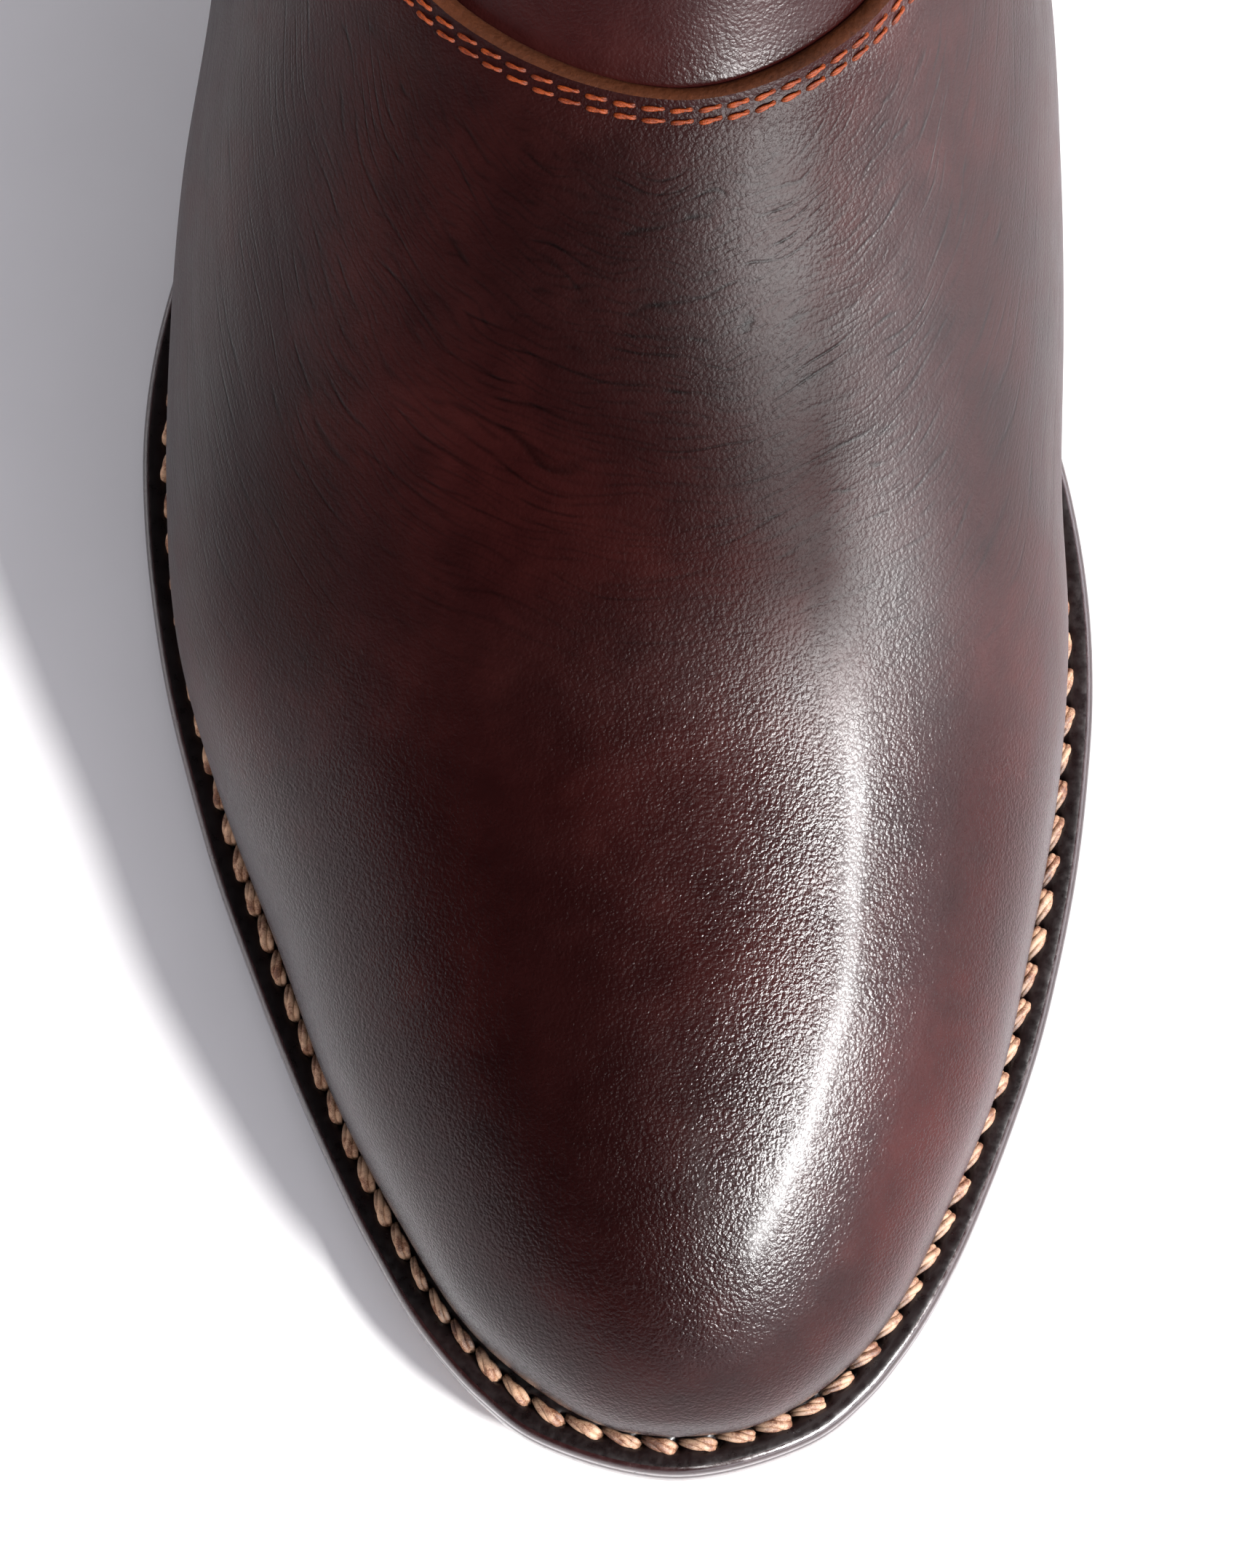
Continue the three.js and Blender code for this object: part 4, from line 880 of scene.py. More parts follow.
def binding(name):
    """a strip folded over the top line: outside band, rolled edge, short return inside"""
    ths = TH_S
    uo = top_u(ths)
    prof = [(13.0, 2.3), (13.1, 1.7), (12.95, 1.2), (12.5, 0.95), (10, 0.82), (7, 0.78), (4, 0.78), (1.5, 0.82), (0.2, 0.95), (-0.7, 1.35), (-1.25, 2.1), (-1.5, 3.2), (-1.35, 4.4), (-0.8, 5.3), (0.1, 5.72), (1.5, 5.78), (5, 5.78), (8.6, 5.78), (9.0, 5.66), (8.6, 5.54), (5, 5.52), (1.0, 5.5), (0.1, 5.3), (-0.25, 4.4), (-0.3, 3.4), (-0.2, 2.6), (0.2, 2.34), (4, 2.3), (9, 2.3)]
    sp = np.linalg.norm(skin(uo + 0.05, ths) - skin(uo - 0.05, ths), axis=1) / 0.1
    rows = []
    for w, d in prof:
        P = surf(uo - w / sp, ths, np.full(len(ths), d))
        rows.append(P)
    n, m = len(ths), len(prof)
    V = np.stack(rows, 1).reshape(-1, 3)
    F = []
    for i in range(n):
        j = (i + 1) % n
        for k in range(m):
            l = (k + 1) % m
            F.append((i * m + k, j * m + k, j * m + l, i * m + l))
    ob = new_object(name, W(V), F, [OX3], sharp=50)
    bm_fix(ob)
    return ob

def bm_fix(ob):
    import bmesh
    bm = bmesh.new(); bm.from_mesh(ob.data)
    bmesh.ops.recalc_face_normals(bm, faces=bm.faces)
    bm.to_mesh(ob.data); bm.free()

o = binding("top_binding_leather")
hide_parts("top_binding"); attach(o, "boot")

# linings
LSEAM = np.array([[128, 130], [150, 70], [186, -10]], float)
def f_lseam(P):
    return sdist(side(P), LSEAM)          # positive behind the line
def lining_low(P): return P[..., 2] - (zo(P[..., 1]) + UPPER_Z)
US_LV = even_u(0.4, 13.5, 3.2, [np.pi / 2, 0.0])
sgn = 1.0 if f_lseam(np.array([[0.0, 250.0, 100.0]]))[0] > 0 else -1.0
o, _, _ = clip_shell("vamp_lining_leather", lambda P: np.minimum(-sgn * f_lseam(P), lining_low(P)), 4.6, 5.5, US_LV, even_th(120), [FLESH, LINING, LINING], pole=True)
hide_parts("vamp_lining"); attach(o, "boot")
US_LS = even_u(7.5, 26.0, 2.6, [np.pi / 2, -np.pi / 2])
o, _, _ = clip_shell("shaft_lining_leather", lambda P: np.minimum(np.minimum(sgn * f_lseam(P) - 0.4, lining_low(P)), f_below_top(P)), 4.6, 5.5, US_LS, even_th(160), [FLESH, LINING, LINING])
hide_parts("shaft_lining"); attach(o, "boot")

# ------------------------------------------------------------------- stitching
def ride_thread(o, node=None):
    if node:
        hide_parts(node)
    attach(o, "boot")
m = f_above_welt(SEAM_P) > 1.5
su, st_ = SEAM_U[m], SEAM_T[m]
u1, t1 = offset_curve(su, st_, 1.15, f_front)
u2, t2 = offset_curve(su, st_, 2.45, f_front)
kw = dict(strands=2, turns=0.7, sink=0.16, rings=9, sides=6)
ride_thread(surf_stitches("throat_stitches_inner", u1, t1, 3.1, 2.75, 0.64, 0.60, [THREAD_V], d=0.20, yaw=0.10, **kw), "vamp_thread_inner")
ride_thread(surf_stitches("throat_stitches_outer", u2, t2, 3.1, 2.75, 0.64, 0.60, [THREAD_V], d=0.20, yaw=0.10, **kw), "vamp_thread_outer")

# counter top edge
cu, ct = cross_u(lambda P: f_counter_top(P), np.linspace(math.radians(-90), math.radians(60), 240), 11.0, 21.0, last=True)
cu2, ct2 = cross_u(lambda P: f_counter_top(P), np.linspace(math.radians(120), math.radians(270), 240), 11.0, 21.0, last=True)
cu, ct = np.concatenate([cu2, cu]), np.concatenate([ct2 - 2 * np.pi, ct])
mm = (-f_front(skin(cu, ct)) > 2.0)
cu, ct = cu[mm], ct[mm]
for k, w in (("a", 1.9), ("b", 3.3)):
    a, b_ = offset_curve(cu, ct, w, f_counter_top)
    ride_thread(surf_stitches("counter_stitches_" + k, a, b_, 3.05, 2.6, 0.7, 0.7, [THREAD_V], d=0.1, **kw))
# strip edges
for nm, t0 in (("medial", 0.0), ("lateral", np.pi)):
    for k, off in (("front", -4.3), ("back", 4.3)):
        a, b_ = cross_t(lambda P, off=off: P[..., 1] - (SEAM_S + off), np.linspace(15.0, 25.9, 240), t0 - 0.75, t0 + 0.75)
        P = skin(a, b_)
        mm = (f_strip(P, 9.0) > 1.2)
        a, b_ = a[mm], b_[mm]
        ride_thread(surf_stitches("strip_stitches_%s_%s" % (nm, k), a, b_, 3.05, 2.6, 0.7, 0.7, [THREAD_V], d=0.95, **kw))
# binding, two rows round the top
for k, dd in (("low", 11.4), ("high", 2.4)):
    a, b_ = cross_u(lambda P, dd=dd: f_below_top(P) - dd, np.linspace(-np.pi / 2, 1.5 * np.pi, 300), 22.0, 26.0)
    ride_thread(surf_stitches("binding_stitches_" + k, a, b_, 3.05, 2.6, 0.7, 0.7, [THREAD_V], d=0.95, **kw))

# ------------------------------------------------------------------- sole unit
def closed_outline():
    return np.concatenate([EDGE_L, EDGE_M[1:-1][::-1]])          # (s, x)

def catmull_closed(P, step):
    n = len(P); out = []
    for i in range(n):
        p0, p1, p2, p3 = P[i - 1], P[i], P[(i + 1) % n], P[(i + 2) % n]
        d0, d1, d2 = [max(1e-6, np.linalg.norm(b - a) ** 0.5) for a, b in ((p0, p1), (p1, p2), (p2, p3))]
        m1 = (p1 - p0) / d0 - (p2 - p0) / (d0 + d1) + (p2 - p1) / d1
        m2 = (p2 - p1) / d1 - (p3 - p1) / (d1 + d2) + (p3 - p2) / d2
        m1 *= d1; m2 *= d1
        k = 24
        f = (np.arange(k) / k)[:, None]
        out.append((2 * f ** 3 - 3 * f ** 2 + 1) * p1 + (f ** 3 - 2 * f ** 2 + f) * m1 + (-2 * f ** 3 + 3 * f ** 2) * p2 + (f ** 3 - f ** 2) * m2)
    C = np.concatenate(out)
    C = np.concatenate([C, C[:1]])
    L = np.concatenate([[0], np.cumsum(np.linalg.norm(np.diff(C, axis=0), axis=1))])
    m = int(L[-1] / step)
    x = np.arange(m) * L[-1] / m
    return np.stack([np.interp(x, L, C[:, 0]), np.interp(x, L, C[:, 1])], 1)

OUT = catmull_closed(closed_outline(), 0.55)
_t = np.roll(OUT, -1, 0) - np.roll(OUT, 1, 0)
_t /= np.linalg.norm(_t, axis=1, keepdims=True)
_area = np.sum(OUT[:, 0] * np.roll(OUT[:, 1], -1) - np.roll(OUT[:, 0], -1) * OUT[:, 1])
INW = np.stack([-_t[:, 1], _t[:, 0]], 1) * (1 if _area > 0 else -1)
# smooth the inward directions so that wide insets stay even
for _ in range(40):
    INW = (np.roll(INW, 1, 0) + 2 * INW + np.roll(INW, -1, 0)) / 4
INW /= np.linalg.norm(INW, axis=1, keepdims=True)

def sweep_open(name, idx, prof, zbase, mats, pmat, extra=None, closed=False):
    """sweeps a closed profile [(inset, z)] along part of the outline"""
    A = OUT[idx]; I = INW[idx]; n, m = len(idx), len(prof)
    V = np.zeros((n, m, 3))
    for k, (w, z) in enumerate(prof):
        s = A[:, 0] + I[:, 0] * w; x = A[:, 1] + I[:, 1] * w
        zz = zo(s) + zbase + z
        if extra is not None:
            zz = zz + extra(idx, w, z)
        V[:, k] = np.stack([x, s, zz], 1)
    F, FM = [], []
    rng = range(n) if closed else range(n - 1)
    for i in rng:
        j = (i + 1) % n
        for k in range(m):
            l = (k + 1) % m
            F.append((i * m + k, j * m + k, j * m + l, i * m + l)); FM.append(pmat[k])
    if not closed:
        F.append(tuple(range(m))); FM.append(pmat[0])
        F.append(tuple(range((n - 1) * m, n * m))[::-1]); FM.append(pmat[0])
    a, b2 = V.reshape(-1, 3), F
    ob = new_object(name, W(a), b2, mats, FM, sharp=45)
    bm_fix(ob)
    return ob

def bm_fix(ob):
    import bmesh
    bm = bmesh.new(); bm.from_mesh(ob.data)
    bmesh.ops.recalc_face_normals(bm, faces=bm.faces)
    bm.to_mesh(ob.data); bm.free()

# index runs: fore part (breast to breast round the toe), rear part round the heel
nO = len(OUT)
is_fore = OUT[:, 0] < BREAST - 0.15
starts = [i for i in range(nO) if is_fore[i] and not is_fore[i - 1]]
def run(mask, start):
    out = [start]; i = (start + 1) % nO
    while mask[i] and i != start:
        out.append(i); i = (i + 1) % nO
    return np.array(out)
fore = run(is_fore, starts[0])
is_rear = OUT[:, 0] > BREAST + 0.15
rs = [i for i in range(nO) if is_rear[i] and not is_rear[i - 1]]
rear = run(is_rear, rs[0])

# stitch positions on the welt
foreP = OUT[fore] + INW[fore] * 3.5
foreL = np.concatenate([[0], np.cumsum(np.linalg.norm(np.diff(foreP, axis=0), axis=1))])
PITCH = 4.5
nst = int((foreL[-1] - 8) / PITCH)
st_pos = 4 + (np.arange(nst) + 0.5) * (foreL[-1] - 8) / nst
hole_pos = 4 + np.arange(nst + 1) * (foreL[-1] - 8) / nst
pos_of = np.zeros(nO); pos_of[fore] = foreL

def welt_extra(idx, w, z):
    if z < 3.0:
        return 0.0
    l = pos_of[idx]
    d = np.abs(l[:, None] - hole_pos[None, :]).min(1)
    hole = np.exp(-(d / 0.62) ** 2) * math.exp(-((w - 3.5) / 0.62) ** 2)
    chan = 0.30 * math.exp(-((w - 3.6) / 1.2) ** 2)
    wheel = 0.0
    return -1.5 * hole - chan + wheel

WZ = 5.5
prof = [(15, 0), (15, 3.5), (11, 3.5), (8.6, 3.5), (7.2, 3.5), (6.0, 3.48), (5.2, 3.46), (4.8, 3.45), (4.5, 3.44), (4.2, 3.44), (3.95, 3.44), (3.7, 3.44), (3.5, 3.44), (3.3, 3.44), (3.05, 3.44), (2.8, 3.44), (2.5, 3.45), (2.1, 3.46), (1.6, 3.45), (1.15, 3.40), (0.85, 3.30), (0.55, 3.12), (0.28, 2.85), (0.10, 2.5), (0.03, 2.0), (0.0, 1.3), (0.03, 0.7), (0.12, 0.3), (0.35, 0.06), (0.8, 0.0)]
pm = [0] * len(prof)
for k, (w, z) in enumerate(prof):
    if w < 0.9:
        pm[k] = 1
welt = sweep_open("welt_strip", fore, prof, WZ, [WELT, WELT_SIDE], pm, welt_extra)
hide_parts("welt"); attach(welt, "boot")
prof_r = [(14, 0), (14, 3.5), (9, 3.5), (6, 3.5), (4.5, 3.5), (3.4, 3.48), (2.4, 3.44), (1.5, 3.38), (0.9, 3.25), (0.45, 3.0), (0.15, 2.6), (0.03, 2.0), (0.0, 1.3), (0.03, 0.7), (0.12, 0.3), (0.35, 0.06), (0.8, 0.0)]
rand = sweep_open("heel_rand_strip", rear[::2], prof_r, WZ, [WELT, WELT_SIDE], [0 if w > 0.9 else 1 for w, z in prof_r])
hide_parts("heel_rand"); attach(rand, "boot")

# welt stitches
x = np.interp(st_pos, foreL, np.arange(len(fore)))
def lerp_rows(A, x):
    i = np.minimum(np.floor(x).astype(int), len(A) - 2); f = (x - i)[:, None]
    return A[i] * (1 - f) + A[i + 1] * f
C2 = lerp_rows(foreP, x)
C = np.stack([C2[:, 1], C2[:, 0], zo(C2[:, 0]) + WZ + 3.44], 1)
Dd = np.gradient(C, axis=0)
Nz = np.tile(np.array([0.0, 0, 1]), (len(C), 1))
Iw = lerp_rows(INW[fore], x)
Nz = Nz - 0.25 * np.stack([Iw[:, 1], Iw[:, 0], 0 * Iw[:, 0]], 1)
wst = stitches("welt_stitches", C, Dd, Nz, [THREAD_W], 4.45, 1.85, 1.6, strands=3, turns=0.5, yaw=-0.19, sink=0.30, rings=13, sides=8, jitter=0.09, taper=0.50, fat_end=1 if Dd[len(Dd) // 2][0] > 0 else -1)
ride_thread(wst, "welt_thread")

# outsole with its underside
def centre_of(s):
    sc = np.clip(s, 34, 268)
    xc = np.interp(sc, [0, 34, 100, 150, 200, 240, 303], [5.6, 5.0, -0.8, -3.0, -1.5, 0, 1.0])
    return np.stack([sc, xc], 1)
oi = np.arange(0, nO, 2)
A = OUT[oi]; I = INW[oi]; n = len(oi)
prof_o = [(16, 5.2), (8, 5.2), (2.5, 5.2), (0.7, 5.2), (0.22, 5.05), (0.03, 4.6), (0.0, 3.9), (0.0, 3.0), (0.02, 2.0), (0.10, 1.1), (0.32, 0.5), (0.7, 0.18), (1.2, 0.04), (2.0, 0.0), (3.2, 0.0)]
rows = []
Cn = centre_of(A[:, 0])
top_c = np.stack([Cn[:, 1], Cn[:, 0], zo(Cn[:, 0]) + 5.2], 1)
rows.append(("c", top_c))
for w, z in prof_o:
    s = A[:, 0] + I[:, 0] * w; xx = A[:, 1] + I[:, 1] * w
    rows.append((w, np.stack([xx, s, zo(s) + z], 1)))
B0 = np.stack([A[:, 0] + I[:, 0] * 3.2, A[:, 1] + I[:, 1] * 3.2], 1)
for f in np.linspace(0, 1, 16)[1:]:
    Q = B0 * (1 - f) + Cn * f
    # a shallow closed channel follows the edge of the tread
    e = np.linalg.norm(Q - A, axis=1)
    groove = 0.25 * np.exp(-((e - 7.5) / 0.9) ** 2)
    rows.append(("b", np.stack([Q[:, 1], Q[:, 0], zo(Q[:, 0]) + groove + 0 * e], 1)))
V = np.concatenate([r[1] for r in rows]); F = []; FM = []
for r in range(len(rows) - 1):
    for i in range(n):
        j = (i + 1) % n
        F.append((r * n + i, r * n + j, (r + 1) * n + j, (r + 1) * n + i))
        FM.append(0 if 3 <= r <= 13 else 1)
outsole = new_object("outsole_leather", W(V), F, [WELT_SIDE, SOLEB], FM, sharp=45)
bm_fix(outsole)
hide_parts("outsole"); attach(outsole, "boot")

# heel stack
HEEL_H, TOP_T, TAPER = 32.0, 6.5, 0.955
def edge_x(tab, s): return float(np.interp(s, tab[:, 0], tab[:, 1]))
hp = OUT[rear]
if hp[0, 1] > hp[-1, 1]:
    hp = hp[::-1]
ends = (hp[0], hp[-1])
b0 = np.array([hp[-1], [BREAST + 3, 22], [BREAST + 4.6, 8], [BREAST + 4.6, -6], [BREAST + 3, -22], hp[0]])
tt = np.linspace(0, 1, 60)
brx = hp[-1, 1] + (hp[0, 1] - hp[-1, 1]) * tt
brs = BREAST + 0.2 + 4.4 * (1 - (2 * tt - 1) ** 2)
HO = np.concatenate([hp[::2], np.stack([brs, brx], 1)[1:-1]])
Hc = HO.mean(0)
def heel_ring(z, inset=0.0):
    k = TAPER + (1 - TAPER) * z / HEEL_H
    Q = np.stack([266 + (HO[:, 0] - 266) * k, 1 + (HO[:, 1] - 1) * k], 1)
    c = np.array([268.0, 1.0])
    v = c - Q; v /= np.linalg.norm(v, axis=1, keepdims=True)
    return Q + v * inset
def heel_piece(name, z0, z1, mats, mat_side, mat_bot, node, slot, top_follows=False, waist=0.25):
    zs = [(z0, 0.9), (z0 + 0.04, 0.35), (z0 + 0.25, 0.08), (z0 + 0.7, 0.0), (0.5 * (z0 + z1), 0.0), (z1 - 0.7, 0.0), (z1 - 0.25, 0.08), (z1 - 0.04, 0.35), (z1, 0.9)]
    n = len(HO); V = []; F = []; FM = []
    for z, ins in zs:
        Q = heel_ring(z, ins)
        zz = np.full(n, z)
        if top_follows:
            lim = zo(Q[:, 0]) - 0.3
            zz = z0 + (zz - z0) * (lim - z0) / (HEEL_H - z0)
        V.append(np.stack([Q[:, 1], Q[:, 0], zz], 1))
    for r in range(len(zs) - 1):
        for i in range(n):
            j = (i + 1) % n
            F.append((r * n + i, r * n + j, (r + 1) * n + j, (r + 1) * n + i)); FM.append(mat_side)
    return V, F, FM, n
SIDE_H = plain_leather("stacked_heel_edge", (0.006, 0.0028, 0.0026), (0.026, 0.010, 0.008), 0.36, 1.0, fibre=True, bump_s=0.4, spec=0.5)
def rubber(name):
    m, t, b = nt(name)
    tc = N(t, "ShaderNodeTexCoord").outputs["Object"]
    n1 = noise(t, tc, 300.0, 3.0, 0.6); n2 = noise(t, tc, 2500.0, 2.0, 0.6)
    t.links.new(ramp(t, n1, [(0.3, (0.010, 0.009, 0.009)), (0.7, (0.024, 0.021, 0.019))]), b.inputs["Base Color"])
    t.links.new(ramp(t, n2, [(0.3, (0.6,) * 3), (0.7, (0.8,) * 3)]), b.inputs["Roughness"])
    t.links.new(bump(t, n2, 0.5, 0.0002), b.inputs["Normal"])
    return m
RUB = rubber("heel_rubber_black")
NAILS = [(290, 1), (279, 20), (279, -18), (256, 22), (256, -20)]
lt = (HEEL_H - TOP_T) / 3
for name, z0, z1, node, slot, mats, follow in (
        ("heel_stack_1", TOP_T + 2 * lt, HEEL_H, "heel_lift_1", "heel_leather", [SIDE_H, SOLEB], True),
        ("heel_stack_2", TOP_T + lt, TOP_T + 2 * lt - 0.3, "heel_lift_2", "heel_leather", [SIDE_H, SOLEB], False),
        ("heel_stack_3", TOP_T, TOP_T + lt - 0.3, "heel_lift_3", "heel_leather", [SIDE_H, SOLEB], False),
        ("heel_top_lift", 0.0, TOP_T - 0.3, "top_lift", "heel_rubber", [RUB, RUB], False)):
    V, F, FM, n = heel_piece(name, z0, z1, mats, 0, 1, node, slot, follow)
    nr = len(V)
    VV = np.concatenate(V)
    def cap(ring_index, zfun, holes, hole_depth, sign):
        global VV
        ring = VV[ring_index * n:(ring_index + 1) * n]
        pts = [Vector((p[0], p[1])) for p in ring]
        edges = [(i, (i + 1) % n) for i in range(n)]
        hs = []
        for (s, xx) in holes:
            b = len(pts); hs.append((b, s, xx))
            for k in range(20):
                a = 2 * math.pi * k / 20
                pts.append(Vector((xx + 1.25 * math.cos(a), s + 1.25 * math.sin(a))))
            edges += [(b + k, b + (k + 1) % 20) for k in range(20)]
        vo, eo, fo, ov, oe, of = delaunay_2d_cdt(pts, edges, [], 1, 1e-5)
        idmap = {}
        newv = []
        for k, v in enumerate(vo):
            src = ov[k][0] if ov[k] else -1
            if 0 <= src < n:
                idmap[k] = ring_index * n + src
            else:
                idmap[k] = len(VV) + len(newv)
                newv.append((v.x, v.y, zfun(v.y)))
        srcmap = {}
        for k in range(len(vo)):
            if ov[k]:
                srcmap[ov[k][0]] = idmap[k]
        for f in fo:
            c = sum((vo[i] for i in f), Vector((0, 0))) / len(f)
            if any((c.x - xx) ** 2 + (c.y - s) ** 2 < 1.2 ** 2 for s, xx in holes):
                continue
            F.append(tuple(idmap[i] for i in f)); FM.append(1)
        if newv:
            VV = np.concatenate([VV, np.array(newv)])
        for b, s, xx in hs:
            base = len(VV)
            add = [(xx + 1.25 * math.cos(2 * math.pi * k / 20), s + 1.25 * math.sin(2 * math.pi * k / 20), zfun(s) + hole_depth) for k in range(20)]
            VV = np.concatenate([VV, np.array(add)])
            for k in range(20):
                k2 = (k + 1) % 20
                F.append((srcmap[b + k], srcmap[b + k2], base + k2, base + k)); FM.append(0)
            F.append(tuple(base + k for k in range(20))); FM.append(0)
    cap(0, (lambda s, z0=z0: z0), NAILS if node == "top_lift" else [], 3.4, -1)
    if follow:
        cap(nr - 1, (lambda s: float(zo(s)) - 0.3), [], 0, 1)
    else:
        cap(nr - 1, (lambda s, z1=z1: z1), [], 0, 1)
    ob = new_object(name, W(VV), F, mats, FM, sharp=50)
    bm_fix(ob)
    for _p in ob.data.polygons:
        if _p.material_index == 1 and abs(_p.normal.z) > 0.99:
            _p.use_smooth = False
    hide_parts(node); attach(ob, "boot")

# ------------------------------------------------------------------ pull straps
def webbing(name):
    m, t, b = nt(name)
    tc = N(t, "ShaderNodeTexCoord").outputs["Object"]
    sep = N(t, "ShaderNodeSeparateXYZ"); t.links.new(tc, sep.inputs[0])
    a = N(t, "ShaderNodeAttribute", attribute_name="along").outputs["Fac"]
    c = N(t, "ShaderNodeAttribute", attribute_name="across").outputs["Fac"]
    # herringbone twill: the diagonal turns over every 4 mm across the width
    zig = math_node(t, "PINGPONG", math_node(t, "MULTIPLY", c, 1000.0), 4.0)
    diag = math_node(t, "ADD", math_node(t, "MULTIPLY", a, 1000.0), zig)
    rib = math_node(t, "PINGPONG", math_node(t, "MULTIPLY", diag, 1.0), 0.55)
    warp = math_node(t, "PINGPONG", math_node(t, "MULTIPLY", c, 1000.0), 0.30)
    h = math_node(t, "ADD", math_node(t, "MULTIPLY", rib, 1.2), math_node(t, "MULTIPLY", warp, 0.9))
    fz = noise(t, tc, 4200.0, 3.0, 0.7)
    k = math_node(t, "ADD", h, math_node(t, "MULTIPLY", fz, 0.35))
    t.links.new(ramp(t, k, [(0.25, (0.010, 0.0045, 0.0040)), (0.85, (0.060, 0.026, 0.022))]), b.inputs["Base Color"])
    t.links.new(bump(t, k, 0.9, 0.00035), b.inputs["Normal"])
    t.links.new(ramp(t, fz, [(0.3, (0.72,) * 3), (0.7, (0.9,) * 3)]), b.inputs["Roughness"])
    b.inputs["Sheen Weight"].default_value = 0.25
    b.inputs["Sheen Roughness"].default_value = 0.4
    return m
WEB = webbing("herringbone_webbing")
LOOP_Z = 358.5

def strap(name, sx, xc, nodes):
    hw = 12.0
    ys = np.concatenate([[-hw], np.linspace(-hw + 0.35, hw - 0.35, 23), [hw]]) + SEAM_S
    th0 = 0.0 if sx > 0 else np.pi
    # wall position of the strap's middle at each (s, z)
    uu = np.linspace(20, 26, 90); tt = np.linspace(th0 - 0.45, th0 + 0.45, 41)
    G = surf(uu[:, None] + 0 * tt, tt[None, :] + 0 * uu[:, None], np.full((90, 41), 7.0))
    pts, val = G[..., 1:].reshape(-1, 2), G[..., 0].reshape(-1)
    def wall(s, z):
        d = (pts[:, 0] - s) ** 2 + (pts[:, 1] - z) ** 2
        k = np.argpartition(d, 4)[:4]
        w = 1 / (d[k] + 1e-3)
        return float((val[k] * w).sum() / w.sum())
    # mid line of the webbing in (offset, height): up one ply, round the loop, down the other
    R, HC = 6.75, 26.2
    half = []
    for z in np.linspace(-42, -2, 21): half.append((-0.66, z))
    for z, x in ((0, -0.68), (2, -0.80), (4, -1.15), (6, -1.7), (8, -2.45), (10.5, -3.5), (13, -4.55), (16, -5.6), (19.5, -6.35), (23, -6.72)): half.append((x, z))
    for a in np.linspace(180, 98, 12): half.append((R * math.cos(math.radians(a)), HC + R * math.sin(math.radians(a))))
    top = [(0.0, HC + R + 0.0)]
    line = half + top + [(-x, z) for x, z in half[::-1]]
    L = np.array(line, float)
    seg = np.concatenate([[0], np.cumsum(np.linalg.norm(np.diff(L, axis=0), axis=1))])
    q = np.linspace(0, seg[-1], 190)
    L = np.stack([np.interp(q, seg, L[:, 0]), np.interp(q, seg, L[:, 1])], 1)
    for _ in range(3):
        L[1:-1] = (L[:-2] + 2 * L[1:-1] + L[2:]) / 4
    T = np.gradient(L, axis=0); T /= np.linalg.norm(T, axis=1, keepdims=True)
    Nn = np.stack([-T[:, 1], T[:, 0]], 1)
    n, m = len(L), len(ys)
    xw = np.array([[wall(y, min(LOOP_Z + z, 352.0)) for y in ys] for z in (0,)])[0]
    tab_z = np.linspace(-42, 0, 12)
    tab = np.array([[wall(y, LOOP_Z + z) for y in ys] for z in tab_z])
    V, AL, AC = [], [], []
    for side_ in (1, -1):
        for i in range(n):
            x0, z0 = L[i]
            for k, y in enumerate(ys):
                base = np.interp(z0, tab_z, tab[:, k])
                mix = smooth01(np.array((z0 + 1.0) / 12.0))
                cx = base * (1 - mix) + xc * mix
                e = abs(y - SEAM_S) / hw
                t = 0.52 * (0.55 if k in (0, m - 1) else 1.0) + (0.10 if e > 0.86 and k not in (0, m - 1) else 0.0)
                # the free loop bows a little across its width
                bow = 0.5 * (1 - e * e) * smooth01(np.array((z0 - 8) / 14.0))
                px = x0 + Nn[i, 0] * (t * side_ + bow * 0.4)
                pz = z0 + Nn[i, 1] * (t * side_ + bow * 0.4)
                V.append((cx + px, y, LOOP_Z + pz)); AL.append(q[i] / 1000); AC.append((y - SEAM_S + 20) / 1000)
    F = []
    for i in range(n - 1):
        for k in range(m - 1):
            a = i * m + k
            F.append((a, a + 1, a + m + 1, a + m))
            b = n * m + a
            F.append((b, b + m, b + m + 1, b + 1))
        for k in (0, m - 1):
            a = i * m + k; b = n * m + a
            F.append((a, a + m, b + m, b))
    for i in (0, n - 1):
        for k in range(m - 1):
            a = i * m + k; b = n * m + a
            F.append((a, a + 1, b + 1, b))
    ob = new_object(name, W(np.array(V)), F, [WEB], sharp=60)
    bm_fix(ob)
    add_attr(ob, "along", AL); add_attr(ob, "across", AC)
    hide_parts(*nodes)
    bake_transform(ob)
    # boxed stitching that holds the strap to the lining
    sg = 1 if sx > 0 else -1
    C, D, Nm = [], [], []
    def seg_st(y0, z0, y1, z1):
        LL = math.hypot(y1 - y0, z1 - z0); k = max(1, int(round(LL / 2.9)))
        for i in range(k):
            f = (i + 0.5) / k
            y, z = y0 + (y1 - y0) * f, z0 + (z1 - z0) * f
            x = wall(y, z) - sg * 1.22
            C.append((x, y, z)); D.append((0, y1 - y0, z1 - z0)); Nm.append((-sg, 0, 0))
    y0, y1, z0, z1 = SEAM_S - 9.6, SEAM_S + 9.6, 319.0, 347.0
    for e in ((y0, z0, y1, z0), (y1, z0, y1, z1), (y1, z1, y0, z1), (y0, z1, y0, z0), (y0, z0, y1, z1), (y0, z1, y1, z0)):
        seg_st(*e)
    so = stitches(name + "_stitches", np.array(C), np.array(D, float), np.array(Nm, float), [THREAD_V], 2.5, 0.7, 0.7, strands=2, turns=0.7, sink=0.1, rings=7, sides=6)
    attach(so, "boot")
    return ob

strap("pull_strap_medial", 1, 52.0, ["strap_base_medial", "strap_loop_medial"])
strap("pull_strap_lateral", -1, -50.2, ["strap_base_lateral", "strap_loop_lateral"])

